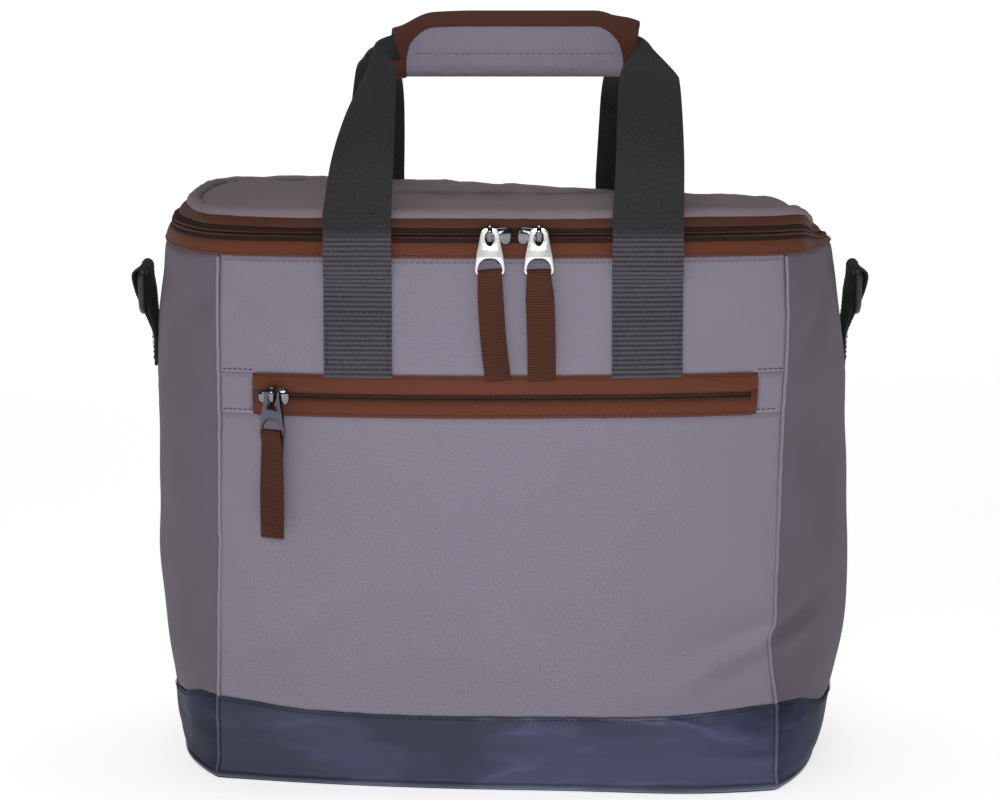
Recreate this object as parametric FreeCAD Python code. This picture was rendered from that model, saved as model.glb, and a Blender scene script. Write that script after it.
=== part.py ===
"""Insulated cooler bag: a soft box of woven polyester over foam, with a foil liner, a zipped lid,
a zipped front pocket, a coated base band, two webbing handles joined by a padded grip and two
side rings.

Millimetres. +Z is up, the front with the pocket faces -Y, and the origin is the centre of the
base on the surface that the bag stands on.

Each horizontal section of the bag is four arcs that meet at four upright corner seams: a shallow
arc across the front and the back, and a deeper one round each side. Every layer of the wall is
the same family of sections, set in from the outer face by its own depth, so the layers nest.
"""

import FreeCAD, Part
import math
import os

V = FreeCAD.Vector
OUT = "parts"

# ---- the outer shape -------------------------------------------------------------------------
SEAM_X = 154.0  # half the width between the upright corner seams
FACE_R = 854.0  # plan radius of the front and back faces
# height, half width at the middle of a side, half depth at the middle of the front
LEVELS = [
    (-2.0, 168.0, 91.5),
    (0.0, 170.0, 93.0),
    (6.0, 175.5, 97.0),
    (16.0, 180.0, 99.5),
    (45.0, 185.5, 102.5),
    (110.0, 191.0, 105.5),
    (180.0, 194.0, 106.5),
    (240.0, 190.5, 105.0),
    (298.0, 184.0, 102.0),
    (320.0, 181.0, 100.5),
    (334.0, 179.0, 99.5),
]
RIM_DEPTH = 101.3  # half depth at the zip round the lid
POCKET_DEPTH = 105.7  # half depth at the pocket zip
BIG = 600.0

# ---- heights ---------------------------------------------------------------------------------
BAND_TOP = 45.0
POCKET_SEAM = 212.0
POCKET_COIL = 222.5
POCKET_TOP = 234.6
RIM_SEAM = 298.2
RIM_COIL = 310.2
WALL_TOP = 306.0
LID_SEAM = 318.6
LID_TOP = 322.4

# ---- layers of the wall, as depths in from the outer face --------------------------------------
SKIN = 1.0
GAP = 0.2  # clearance between neighbouring layers
BACKING = (4.2, 4.9)  # the wall behind the flat front pocket
FOAM = (1.2, 9.6)
FRONT_FOAM = (5.1, 9.6)
LINER = (9.8, 10.5)
LID_EDGE = 2.0  # how far the lid's foam is set in above the sliders
SEAM_GAP = 0.2  # half the gap between panels at a corner seam

# ---- zips ------------------------------------------------------------------------------------
COIL_OUT, COIL_IN = 0.7, 1.7  # how far a coil stands out of, and reaches into, the face
COIL_H = 1.6
COIL_SPLIT = 0.5  # half the space between the two rows of coil, where the slider's web runs
ZIP_BACK_END = 62.0  # y where the lid zip stops on each side
POCKET_HALF = 135.0
SLIDER_L, SLIDER_W = 17.0, 10.0
SLIDER_GAP = 0.4
PLATE = 1.8
BACK_PLATE = 1.4
WEB = 0.7
BAIL_W, BAIL_OUT, BAIL_WALL = 2.6, 8.4, 1.7
BAIL_LOW, BAIL_HIGH = -3.0, 6.2  # the bail's feet, measured up from the coil
PIVOT_OUT, PIVOT_UP = 4.8, 3.2  # where the puller's eye hangs, off the face and above the coil
PULLER_T, PULLER_L = 1.5, 23.6
PULLER_TOP_W, PULLER_FOOT_W = 10.4, 15.6
EYE_TOP, EYE_LOW, EYE_W = 0.9, 8.6, 4.8
SLOT_W, SLOT_TOP = 13.7, 14.6
BAR = 1.6
TAB_W, TAB_L, TAB_LAYER = 13.0, 57.5, 1.2
TAB_LOOP_IN = 1.8
PULL_LEAN = 3.0  # degrees that the hanging pullers lean out over the bulge of the front
MEET_X = 7.6  # where the two lid sliders meet
SLIDER_HALF_PITCH = 10.0
BAIL_SHIFT = 3.0
POCKET_SLIDER_X = -122.0

# ---- handles ---------------------------------------------------------------------------------
STRAP_IN, STRAP_OUT, STRAP_T = 58.0, 96.0, 1.8
STRAP_LOW, STRAP_HIGH = 235.0, 291.0
BASE_HINGE = (-104.8, 293.0)  # y, z where the loose part of the front strap starts
BEND_HINGE = (-101.0, 350.5)
GRIP_Z, GRIP_H, GRIP_D, GRIP_L = 406.0, 18.0, 15.0, 66.0
GRIP_ROUND = 10.0
GRIP_SPLIT = 0.4
COVER_T = 1.5
BINDING_T = 0.9
BAR_H, BAR_Y0, BAR_Y1 = 10.0, -8.0, -4.0

# ---- side rings ------------------------------------------------------------------------------
RING_X, RING_Z = 202.0, 278.5  # the ring's bar on the right side
RING_R = 2.2
RING_HALF, RING_DROP, RING_CORNER = 18.0, 22.0, 9.0
RING_TAB_W = 30.0
TAB_FOOT_Z, TAB_STITCH_Z = 226.0, 244.0
TAB_FOOT_X = 194.2
TAB_FOLD_IN, WEBBING = 2.6, 1.5


def save(name, *shapes):
    """Writes the node's solids to one file."""
    solids = [s for shape in shapes for s in shape.Solids]
    for solid in solids:
        if not solid.isValid() or solid.Volume < 0.5:
            raise ValueError(f"{name} has a bad solid of {solid.Volume:.2f} mm3")
    whole = solids[0] if len(solids) == 1 else Part.makeCompound(solids)
    whole.exportStep(os.path.join(OUT, name + ".step"))


# ---- the family of sections --------------------------------------------------------------------
def face_drop(x):
    """How far the front face falls back at x from its middle."""
    return FACE_R - math.sqrt(FACE_R**2 - x**2)


def section(z, half_width, half_depth, inset):
    """Closed wire of four arcs at height z, set in by inset."""
    seam_x = SEAM_X - inset
    seam_y = half_depth - face_drop(SEAM_X) - inset
    front, side = half_depth - inset, half_width - inset
    corners = [V(-seam_x, -seam_y, z), V(seam_x, -seam_y, z), V(seam_x, seam_y, z), V(-seam_x, seam_y, z)]
    middles = [V(0, -front, z), V(side, 0, z), V(0, front, z), V(-side, 0, z)]
    arcs = [Part.Arc(corners[i], middles[i], corners[(i + 1) % 4]).toShape() for i in range(4)]
    return Part.Wire(arcs)


_blocks = {}


def block(inset):
    """The whole bag as one solid, set in by inset, taller and lower than the bag itself."""
    if inset not in _blocks:
        wires = [section(z, a, b, inset) for z, a, b in LEVELS]
        _blocks[inset] = Part.makeLoft(wires, True, False)
    return _blocks[inset]


def box(x0, x1, y0, y1, z0, z1):
    return Part.makeBox(x1 - x0, y1 - y0, z1 - z0, V(x0, y0, z0))


def slab(shape, z0, z1):
    return shape.common(box(-BIG, BIG, -BIG, BIG, z0, z1))


def plate(inset, z0, z1):
    """A flat filled layer between two heights."""
    return slab(block(inset), z0, z1)


def skin(outer, inner, z0, z1):
    """The ring of wall between two depths and two heights."""
    return slab(block(outer), z0, z1).cut(block(inner))


def front_of(shape, half_x):
    return shape.common(box(-half_x, half_x, -BIG, 0, -10, BIG))


def back_of(shape, half_x):
    return shape.common(box(-half_x, half_x, 0, BIG, -10, BIG))


def side_of(shape, half_x, sign):
    x0, x1 = sorted((sign * half_x, sign * BIG))
    return shape.common(box(x0, x1, -BIG, BIG, -10, BIG))


def mirror_y(shape):
    return shape.mirror(V(0, 0, 0), V(0, 1, 0))


def mirror_x(shape):
    return shape.mirror(V(0, 0, 0), V(1, 0, 0))


def prism_x(points, x0, x1):
    """A profile of (y, z) points drawn out along X."""
    wire = Part.makePolygon([V(x0, y, z) for y, z in points + points[:1]])
    return Part.Face(wire).extrude(V(x1 - x0, 0, 0))


# ---- base and walls ------------------------------------------------------------------------------
def build_base():
    save("base_panel", plate(1.6, 0.0, 1.2))
    save("base_piping", skin(-1.0, 1.2, 1.4, 4.0))
    save("foam_base", plate(FOAM[0], 4.2, 9.0))
    save("base_board", plate(LINER[0] + 1.5, 9.2, 11.0))
    seam = SEAM_X - 0.5 * SKIN
    ring = skin(0.0, SKIN, 4.2, BAND_TOP)
    pieces = [front_of(ring, seam - SEAM_GAP), back_of(ring, seam - SEAM_GAP)]
    pieces += [side_of(ring, seam + SEAM_GAP, sign) for sign in (-1, 1)]
    save("base_band", *pieces)


def build_walls():
    seam = SEAM_X - 0.5 * SKIN
    low = BAND_TOP + GAP
    high = RIM_SEAM
    ring = skin(0.0, SKIN, low, high)
    front = front_of(ring, seam - SEAM_GAP)
    save("pocket_panel", slab(front, low, POCKET_SEAM))
    save("front_upper_panel", slab(front, POCKET_TOP + GAP, high))
    ends = slab(front, POCKET_SEAM + GAP, POCKET_TOP)
    inner = POCKET_HALF + GAP
    save("pocket_end_patches", ends.common(box(-BIG, -inner, -BIG, 0, 0, BIG)),
         ends.common(box(inner, BIG, -BIG, 0, 0, BIG)))
    save("back_panel", back_of(ring, seam - SEAM_GAP))
    save("left_gusset", side_of(ring, seam + SEAM_GAP, -1))
    save("right_gusset", side_of(ring, seam + SEAM_GAP, 1))
    save("pocket_backing", front_of(skin(*BACKING, 9.2, high), SEAM_X - BACKING[1] - 1.0))
    ridge = skin(-1.0, -0.05, 4.6, high)
    ridges = [ridge.common(box(x - 0.7, x + 0.7, -BIG, BIG, 0, BIG)) for x in (-SEAM_X, SEAM_X)]
    save("corner_piping", *ridges)


def build_insulation():
    split = SEAM_X - FOAM[1] + 1.0
    low, high = 9.2, WALL_TOP
    ring = skin(*FOAM, low, high)
    save("foam_front", front_of(skin(*FRONT_FOAM, low, high), split - GAP))
    save("foam_back", back_of(ring, split - GAP))
    foam_x = split + GAP
    pocket_side = box(-BIG, BIG, -BIG, -60.0, -10, BIG)
    sides = []
    for sign in (-1, 1):
        side = side_of(ring, foam_x, sign)
        front_edge = side_of(skin(*FRONT_FOAM, low, high), foam_x, sign).common(pocket_side)
        sides.append(side.cut(pocket_side).fuse(front_edge).removeSplitter())
    save("foam_sides", *sides)
    floor = plate(LINER[0], 11.2, 11.9)
    wall = skin(*LINER, 11.2, high)
    save("liner_tub", wall.fuse(floor).removeSplitter())
    save("rim_binding", skin(LINER[0] - 1.4, LINER[0] + 1.4, high + GAP, high + 2.6))


# ---- zip tapes and coils --------------------------------------------------------------------------
def build_lid_zip():
    """The zip runs across the front and both sides, and the hinge cloth crosses the back."""
    reach = box(-BIG, BIG, -BIG, ZIP_BACK_END, 0, BIG)
    low_coil = (RIM_COIL - COIL_SPLIT - COIL_H, RIM_COIL - COIL_SPLIT)
    high_coil = (RIM_COIL + COIL_SPLIT, RIM_COIL + COIL_SPLIT + COIL_H)
    save("lid_zip_tape_lower", skin(0.05, SKIN, RIM_SEAM + GAP, low_coil[0] - 0.1).common(reach))
    save("lid_zip_coil_lower", skin(-COIL_OUT, COIL_IN, *low_coil).common(reach))
    save("lid_zip_tape_upper", skin(0.05, SKIN, high_coil[1] + 0.1, LID_SEAM).common(reach))
    save("lid_zip_coil_upper", skin(-COIL_OUT, COIL_IN, *high_coil).common(reach))
    cloth = box(-BIG, BIG, ZIP_BACK_END + GAP, BIG, 0, BIG)
    save("hinge_cloth_lower", skin(0.05, SKIN, RIM_SEAM + GAP, RIM_COIL - 0.6).common(cloth))
    save("hinge_cloth_upper", skin(0.05, SKIN, RIM_COIL + 0.6, LID_SEAM).common(cloth))


def build_pocket_zip():
    reach = box(-POCKET_HALF, POCKET_HALF, -BIG, 0, 0, BIG)
    low_coil = (POCKET_COIL - COIL_SPLIT - COIL_H, POCKET_COIL - COIL_SPLIT)
    high_coil = (POCKET_COIL + COIL_SPLIT, POCKET_COIL + COIL_SPLIT + COIL_H)
    save("pocket_zip_tapes", skin(0.05, SKIN, POCKET_SEAM + GAP, low_coil[0] - 0.1).common(reach),
         skin(0.05, SKIN, high_coil[1] + 0.1, POCKET_TOP).common(reach))
    save("pocket_zip_coils", skin(-COIL_OUT, COIL_IN, *low_coil).common(reach),
         skin(-COIL_OUT, COIL_IN, *high_coil).common(reach))


# ---- sliders, pullers and pull tabs ------------------------------------------------------------------
def on_face(shape, x, half_depth):
    """Turns a shape built at the middle of the front about the face's centre, out to x."""
    angle = math.degrees(math.asin(x / FACE_R))
    return shape.rotated(V(0, FACE_R - half_depth, 0), V(0, 0, 1), angle)


def lean(shape, half_depth, pivot):
    """Swings a hanging piece out about the puller's pivot."""
    return shape.rotated(V(0, -half_depth - PIVOT_OUT, pivot), V(1, 0, 0), -PULL_LEAN)


def slider(half_depth, coil, bail_x):
    """A front plate and a back plate joined by a web, and a bail that the puller hangs on."""
    half_l, half_w = SLIDER_L / 2, SLIDER_W / 2
    y_front = -half_depth - COIL_OUT - SLIDER_GAP
    y_back = -half_depth + COIL_IN + SLIDER_GAP
    face = box(-half_l, half_l, y_front - PLATE, y_front, coil - half_w, coil + half_w)
    back = box(-half_l, half_l, y_back, y_back + BACK_PLATE, coil - half_w, coil + half_w)
    face = face.makeFillet(3.4, [e for e in face.Edges if abs(e.tangentAt(e.FirstParameter).y) > 0.9])
    back = back.makeFillet(3.4, [e for e in back.Edges if abs(e.tangentAt(e.FirstParameter).y) > 0.9])
    web = box(-half_l + 2, half_l - 2, y_front - 0.2, y_back + 0.2, coil - WEB / 2, coil + WEB / 2)
    y_bail = -half_depth - BAIL_OUT
    y_root = y_front - PLATE + 0.2
    half_b = BAIL_W / 2
    bail = box(bail_x - half_b, bail_x + half_b, y_bail, y_root, coil + BAIL_LOW, coil + BAIL_HIGH)
    corners = [e for e in bail.Edges
               if abs(e.tangentAt(e.FirstParameter).x) > 0.9 and abs(e.CenterOfMass.y - y_bail) < 0.1]
    bail = bail.makeFillet(2.4, corners)
    hollow = box(bail_x - 5, bail_x + 5, y_bail + BAIL_WALL, y_front - PLATE,
                 coil + BAIL_LOW + BAIL_WALL, coil + BAIL_HIGH - BAIL_WALL)
    return face.fuse(bail.cut(hollow)).fuse(web).fuse(back).removeSplitter()


def flat_in_front(points, y, thickness):
    """A plate of (x, z) points whose middle lies at y."""
    wire = Part.makePolygon([V(x, y - thickness / 2, z) for x, z in points + points[:1]])
    return Part.Face(wire).extrude(V(0, thickness, 0))


def puller(half_depth, pivot, bail_x):
    """A flat metal tag: an eye round the bail, a flare, and a bar that the fabric tab loops round."""
    y = -half_depth - PIVOT_OUT
    top, foot = pivot + EYE_TOP, pivot - PULLER_L
    half_t, half_f = PULLER_TOP_W / 2, PULLER_FOOT_W / 2
    outline = [(bail_x + x, z) for x, z in (
        (-half_t + 3.2, top), (half_t - 3.2, top), (half_t - 0.8, top - 1.4), (half_t, top - 4.0),
        (half_f - 0.5, pivot - SLOT_TOP), (half_f, foot), (-half_f, foot), (-half_f + 0.5, pivot - SLOT_TOP),
        (-half_t, top - 4.0), (-half_t + 0.8, top - 1.4))]
    body = flat_in_front(outline, y, PULLER_T)
    half_e = EYE_W / 2
    eye = [(bail_x + x, z) for x, z in (
        (-half_e + 0.8, pivot - EYE_TOP), (half_e - 0.8, pivot - EYE_TOP), (half_e, pivot - EYE_TOP - 1.0),
        (half_e, pivot - EYE_LOW + 2.6), (0.0, pivot - EYE_LOW), (-half_e, pivot - EYE_LOW + 2.6),
        (-half_e, pivot - EYE_TOP - 1.0))]
    half_s, arch = SLOT_W / 2, pivot - SLOT_TOP
    slot = [(bail_x + x, z) for x, z in (
        (-half_s, foot + BAR), (half_s, foot + BAR), (half_s, arch - 4.4), (half_s - 2.0, arch - 1.4),
        (half_s - 4.6, arch), (-half_s + 4.6, arch), (-half_s + 2.0, arch - 1.4), (-half_s, arch - 4.4))]
    return body.cut(flat_in_front(eye, y, 9.0)).cut(flat_in_front(slot, y, 9.0))


def pull_tab(half_depth, pivot, bail_x, skew):
    """A ribbon folded round the puller's bar and sewn to itself, a little askew."""
    y, z = -half_depth - PIVOT_OUT, pivot - PULLER_L + BAR / 2
    outer = TAB_LOOP_IN + TAB_LAYER
    x0, x1 = bail_x - TAB_W / 2, bail_x + TAB_W / 2
    ring = Part.makeCylinder(outer, TAB_W, V(x0, y, z), V(1, 0, 0))
    flat = box(x0, x1, y - TAB_LAYER, y + TAB_LAYER, z - TAB_L, z - 1.0)
    hole = Part.makeCylinder(TAB_LOOP_IN, TAB_W + 4, V(x0 - 2, y, z), V(1, 0, 0))
    tab = ring.fuse(flat).cut(hole).removeSplitter()
    return tab.rotated(V(bail_x, y, z), V(0, 1, 0), skew)


def build_slider_set(name, half_depth, coil, x, bail_x, skew):
    pivot = coil + PIVOT_UP
    save(name + "_slider", on_face(slider(half_depth, coil, bail_x), x, half_depth))
    hanging = {"puller": puller(half_depth, pivot, bail_x),
               "pull_tab": pull_tab(half_depth, pivot, bail_x, skew)}
    for part, shape in hanging.items():
        save(f"{name}_{part}", on_face(lean(shape, half_depth, pivot), x, half_depth))


# ---- lid ----------------------------------------------------------------------------------------------
def build_lid():
    foam_low, shelf = RIM_COIL + 1.6, RIM_COIL + 5.6
    save("lid_foam", plate(FOAM[1], foam_low, shelf).fuse(plate(LID_EDGE, shelf, LID_TOP - 2.2)))
    save("lid_liner", plate(FOAM[1] - 2.0, foam_low - 1.0, foam_low - 0.2))
    border_low = LID_SEAM + GAP
    border = skin(0.3, 8.0, border_low, LID_TOP)
    corner = box(-BIG, BIG, -BIG, BIG, border_low - 1, LID_TOP - 1.4).common(block(1.6))
    save("lid_border", border.cut(corner))
    save("lid_piping", skin(8.2, 10.2, LID_TOP - 1.2, LID_TOP + 0.8))
    save("lid_top_panel", plate(10.4, LID_TOP - 1.4, LID_TOP + 0.2))


# ---- handles --------------------------------------------------------------------------------------------
def stitched_straps():
    """The part of the front strap that is sewn flat to the panel, left and right."""
    ring = skin(-STRAP_T - GAP, -GAP, STRAP_LOW, STRAP_HIGH)
    front = ring.common(box(STRAP_IN, STRAP_OUT, -BIG, 0, 0, BIG))
    return [front, mirror_x(front)]


def strap_legs():
    """The upright part between the hinge lines, with rounded ends on both lines."""
    (y0, z0), (y1, z1) = BASE_HINGE, BEND_HINGE
    z_top = z1 - 2.2
    y_top = y0 + (y1 - y0) * (z_top - z0) / (z1 - z0)
    half = STRAP_T / 2
    leg = prism_x([(y0 - half, z0), (y_top - half, z_top), (y_top + half, z_top), (y0 + half, z0)],
                  STRAP_IN, STRAP_OUT)
    for y, z in ((y0, z0), (y_top, z_top)):
        leg = leg.fuse(Part.makeCylinder(half, STRAP_OUT - STRAP_IN, V(STRAP_IN, y, z), V(1, 0, 0)))
    leg = leg.removeSplitter()
    return [leg, mirror_x(leg)]


def strap_ends():
    """The part that arches over from the bend to the end of the grip and narrows into it."""
    half = STRAP_T / 2
    y1, z1 = BEND_HINGE
    stations = [  # inner x, outer x, y, z, direction of the thickness in y and z
        (STRAP_IN, STRAP_OUT, y1, z1 - 0.6, -0.97, 0.24, half),
        (STRAP_IN + 0.5, STRAP_OUT, y1 + 15.0, z1 + 26.0, -0.82, 0.57, half),
        (STRAP_IN + 4.0, STRAP_OUT - 3.0, y1 + 51.0, z1 + 47.0, -0.4, 0.92, half),
        (GRIP_L + 3.0, GRIP_L + 17.0, BAR_Y0 + 2.0, GRIP_Z + 2.0, 0.0, 1.0, 5.0),
    ]
    wires = []
    for x0, x1, y, z, ny, nz, t in stations:
        corners = [V(x0, y - ny * t, z - nz * t), V(x1, y - ny * t, z - nz * t),
                   V(x1, y + ny * t, z + nz * t), V(x0, y + ny * t, z + nz * t)]
        wires.append(Part.makePolygon(corners + corners[:1]))
    end = Part.makeLoft(wires, True, True)
    return [end, mirror_x(end)]


def grip_profile(grow):
    """The front half of the grip's section as a face at the grip's left end."""
    top, low = GRIP_Z + GRIP_H + grow, GRIP_Z - GRIP_H - grow
    front, split = -GRIP_D - grow, -GRIP_SPLIT
    r = GRIP_ROUND
    c = r * (1 - math.sqrt(0.5))
    x = -GRIP_L
    points = [V(x, split, top), V(x, front + r, top), V(x, front + c, top - c), V(x, front, top - r),
              V(x, front, low + r), V(x, front + c, low + c), V(x, front + r, low), V(x, split, low)]
    edges = [Part.LineSegment(points[0], points[1]).toShape(), Part.Arc(*points[1:4]).toShape(),
             Part.LineSegment(points[3], points[4]).toShape(), Part.Arc(*points[4:7]).toShape(),
             Part.LineSegment(points[6], points[7]).toShape(), Part.LineSegment(points[7], points[0]).toShape()]
    return Part.Face(Part.Wire(edges))


def grip_bar(grow):
    return grip_profile(grow).extrude(V(2 * GRIP_L, 0, 0))


def build_handle(side, flip):
    """One webbing handle with its half of the grip. flip carries the front one to the other side."""
    save(side + "_strap_stitched", *[flip(s) for s in stitched_straps()])
    save(side + "_strap_legs", *[flip(s) for s in strap_legs()])
    save(side + "_strap_ends", *[flip(s) for s in strap_ends()])
    cover = grip_bar(0.0).cut(grip_bar(-COVER_T))
    save(side + "_grip_cover", flip(cover))
    binding = grip_bar(BINDING_T).cut(grip_bar(0.1))
    top = binding.common(box(-BIG, BIG, -BIG, 0, GRIP_Z + 0.55 * GRIP_H, BIG))
    end = binding.common(box(GRIP_L - 8.0, BIG, -BIG, 0, 0, BIG))
    save(side + "_grip_binding", flip(top.fuse(end).fuse(mirror_x(end)).removeSplitter()))
    foam = grip_bar(-COVER_T - GAP).common(box(-BIG, BIG, -BIG, -2.2, 0, BIG))
    slot = box(-BIG, BIG, BAR_Y0 - GAP, BAR_Y1 + GAP, GRIP_Z - BAR_H - GAP, GRIP_Z + BAR_H + GAP)
    save(side + "_grip_foam", flip(foam.cut(slot)))
    half_bar = GRIP_L + 2.4
    save(side + "_grip_webbing", flip(box(-half_bar, half_bar, BAR_Y0, BAR_Y1, GRIP_Z - BAR_H, GRIP_Z + BAR_H)))
    strip = box(-GRIP_L + 6, GRIP_L - 6, -2.0, -0.5, GRIP_Z + 10.4, GRIP_Z + 15.8)
    low_strip = strip.translated(V(0, 0, -26.2))
    save(side + "_grip_fastener", flip(strip), flip(low_strip))


# ---- side rings --------------------------------------------------------------------------------------------
def ring():
    """A D-shaped ring hanging from its straight bar, which lies along Y."""
    y, drop, r = RING_HALF, RING_DROP, RING_CORNER
    c = r * (1 - math.sqrt(0.5))
    small = 3.0
    k = small * (1 - math.sqrt(0.5))
    x, top, low = RING_X, RING_Z, RING_Z - drop

    def at(py, pz):
        return V(x, py, pz)

    edges = [
        Part.LineSegment(at(-y + small, top), at(y - small, top)).toShape(),
        Part.Arc(at(y - small, top), at(y - k, top - k), at(y, top - small)).toShape(),
        Part.LineSegment(at(y, top - small), at(y, low + r)).toShape(),
        Part.Arc(at(y, low + r), at(y - c, low + c), at(y - r, low)).toShape(),
        Part.LineSegment(at(y - r, low), at(-y + r, low)).toShape(),
        Part.Arc(at(-y + r, low), at(-y + c, low + c), at(-y, low + r)).toShape(),
        Part.LineSegment(at(-y, low + r), at(-y, top - small)).toShape(),
        Part.Arc(at(-y, top - small), at(-y + k, top - k), at(-y + small, top)).toShape(),
    ]
    path = Part.Wire(edges)
    profile = Part.Wire([Part.Circle(at(0, top), V(0, 1, 0), RING_R).toShape()])
    profile.translate(V(0, -y + small, 0))
    return path.makePipeShell([profile], True, False)


def ring_tab():
    """Webbing folded round the ring's bar and sewn flat to the gusset below it."""
    outer = TAB_FOLD_IN + WEBBING
    lean_dx = RING_X - TAB_FOOT_X
    slope = math.atan2(lean_dx, RING_Z - TAB_STITCH_Z)
    side = V(math.cos(slope), 0, -math.sin(slope))
    half = RING_TAB_W / 2
    bar = V(RING_X, -half, RING_Z)
    foot = V(TAB_FOOT_X, -half, TAB_STITCH_Z)
    thin = WEBBING

    def strip(points):
        return Part.Face(Part.makePolygon(points + points[:1])).extrude(V(0, RING_TAB_W, 0))

    lower = strip([V(TAB_FOOT_X - thin, -half, TAB_FOOT_Z), V(TAB_FOOT_X + thin, -half, TAB_FOOT_Z),
                   V(TAB_FOOT_X + thin, -half, TAB_STITCH_Z), V(TAB_FOOT_X - thin, -half, TAB_STITCH_Z)])
    upper = strip([foot - side * thin, foot + side * thin, bar + side * thin, bar - side * thin])
    joint = Part.makeCylinder(thin, RING_TAB_W, foot, V(0, 1, 0))
    loop = Part.makeCylinder(outer, RING_TAB_W, bar, V(0, 1, 0))
    hole = Part.makeCylinder(TAB_FOLD_IN, RING_TAB_W + 4, bar - V(0, 2, 0), V(0, 1, 0))
    return lower.fuse(upper).fuse(joint).fuse(loop).cut(hole).removeSplitter()


def build_rings():
    right = ring()
    save("right_ring", right)
    save("left_ring", mirror_x(right))
    tab = ring_tab()
    save("ring_tabs", tab, mirror_x(tab))


def main():
    os.makedirs(OUT, exist_ok=True)
    build_base()
    build_walls()
    build_insulation()
    build_lid_zip()
    build_pocket_zip()
    build_slider_set("left", RIM_DEPTH, RIM_COIL, MEET_X - SLIDER_HALF_PITCH, -BAIL_SHIFT, -4.0)
    build_slider_set("right", RIM_DEPTH, RIM_COIL, MEET_X + SLIDER_HALF_PITCH, BAIL_SHIFT, -2.5)
    build_slider_set("pocket", POCKET_DEPTH, POCKET_COIL, POCKET_SLIDER_X, 0.0, 0.0)
    build_lid()
    build_handle("front", lambda s: s)
    build_handle("back", mirror_y)
    build_rings()


main()
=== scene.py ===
"""Insulated cooler bag: what is seen of it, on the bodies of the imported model.

Lengths are in millimetres until a mesh is made. The outer shape is one family of rings, four
arcs that meet at four upright seams, and u counts along a ring: 0 at the front left seam, then
the front, the right gusset, the back and the left gusset.
"""

import math
from functools import lru_cache

import bpy
import numpy as np
from mathutils import Matrix, Vector
from mathutils.kdtree import KDTree


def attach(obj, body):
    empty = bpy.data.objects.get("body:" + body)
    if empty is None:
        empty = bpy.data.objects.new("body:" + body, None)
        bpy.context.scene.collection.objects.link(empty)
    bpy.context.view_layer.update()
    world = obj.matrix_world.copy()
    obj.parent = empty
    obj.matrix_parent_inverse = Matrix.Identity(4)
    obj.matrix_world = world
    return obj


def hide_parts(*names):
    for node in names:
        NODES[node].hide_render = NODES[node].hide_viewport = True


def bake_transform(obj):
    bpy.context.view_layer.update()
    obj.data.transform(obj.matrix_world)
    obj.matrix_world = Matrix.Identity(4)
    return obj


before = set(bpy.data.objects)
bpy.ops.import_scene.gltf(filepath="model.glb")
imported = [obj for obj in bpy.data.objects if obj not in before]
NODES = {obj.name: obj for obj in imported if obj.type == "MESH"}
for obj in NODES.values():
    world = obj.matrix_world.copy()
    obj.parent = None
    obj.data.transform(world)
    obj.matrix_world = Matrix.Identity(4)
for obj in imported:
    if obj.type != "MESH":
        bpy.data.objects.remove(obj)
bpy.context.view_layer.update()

MM = 0.001
scene = bpy.context.scene


# ---- camera, light and floor ----
def aimed(name, data, place, target):
    """A camera or lamp that stands at place and looks at target."""
    obj = bpy.data.objects.new(name, data)
    scene.collection.objects.link(obj)
    obj.location = place
    obj.rotation_euler = (Vector(target) - Vector(place)).to_track_quat("-Z", "Y").to_euler()
    return obj


def softbox(name, place, target, size, power, tint=(1.0, 1.0, 1.0)):
    data = bpy.data.lights.new(name, "AREA")
    data.shape = "RECTANGLE"
    data.size, data.size_y = size
    data.energy, data.color = power, tint
    aimed(name, data, place, target)


def build_studio():
    camera = bpy.data.cameras.new("camera")
    camera.lens, camera.sensor_width, camera.shift_y, camera.clip_end = 105.1, 36.0, 0.005, 50.0
    scene.camera = aimed("camera", camera, (0.0, -1.65, 0.50), (0.0, 0.0, 0.20))
    scene.view_settings.view_transform = "Standard"
    softbox("key", (-0.15, -2.3, 1.15), (0.0, 0.0, 0.22), (1.3, 0.9), 11.2, (1.0, 0.99, 0.985))
    softbox("fill", (-1.5, -1.7, 0.8), (0.0, 0.0, 0.2), (0.8, 0.8), 2.5)
    softbox("top", (0.0, 0.25, 2.1), (0.0, 0.0, 0.25), (1.4, 1.0), 10.5)
    spot = bpy.data.lights.new("centre", "SPOT")
    spot.energy, spot.spot_size, spot.spot_blend, spot.shadow_soft_size = 95.0, math.radians(11.4), 1.0, 0.2
    aimed("centre", spot, (0.05, -2.4, 0.95), (0.01, 0.0, 0.2))
    scene.world = bpy.data.worlds.new("studio")
    scene.world.use_nodes = True
    background = scene.world.node_tree.nodes["Background"].inputs
    background["Color"].default_value = (1.0, 1.0, 1.0, 1.0)
    background["Strength"].default_value = 0.06


def build_floor():
    """A pale floor. It glows a little, more so far out where the lights don't reach."""
    mesh = bpy.data.meshes.new("floor")
    mesh.from_pydata([(-40, -40, 0), (40, -40, 0), (40, 40, 0), (-40, 40, 0)], [], [(0, 1, 2, 3)])
    floor = bpy.data.objects.new("floor", mesh)
    scene.collection.objects.link(floor)
    m = Nodes("pale_floor")
    far = m.add("VectorMath", operation="LENGTH")
    m.feed(far.inputs[0], m.add("TexCoord").outputs["Object"])
    m.set(Base_Color=(0.92, 0.92, 0.92), Roughness=0.9, Emission_Color=(1.0, 1.0, 1.0),
          Emission_Strength=m.ramp(far.outputs["Value"], 0.3, 3.0, 0.7, 1.0))
    mesh.materials.append(m.material)


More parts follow.
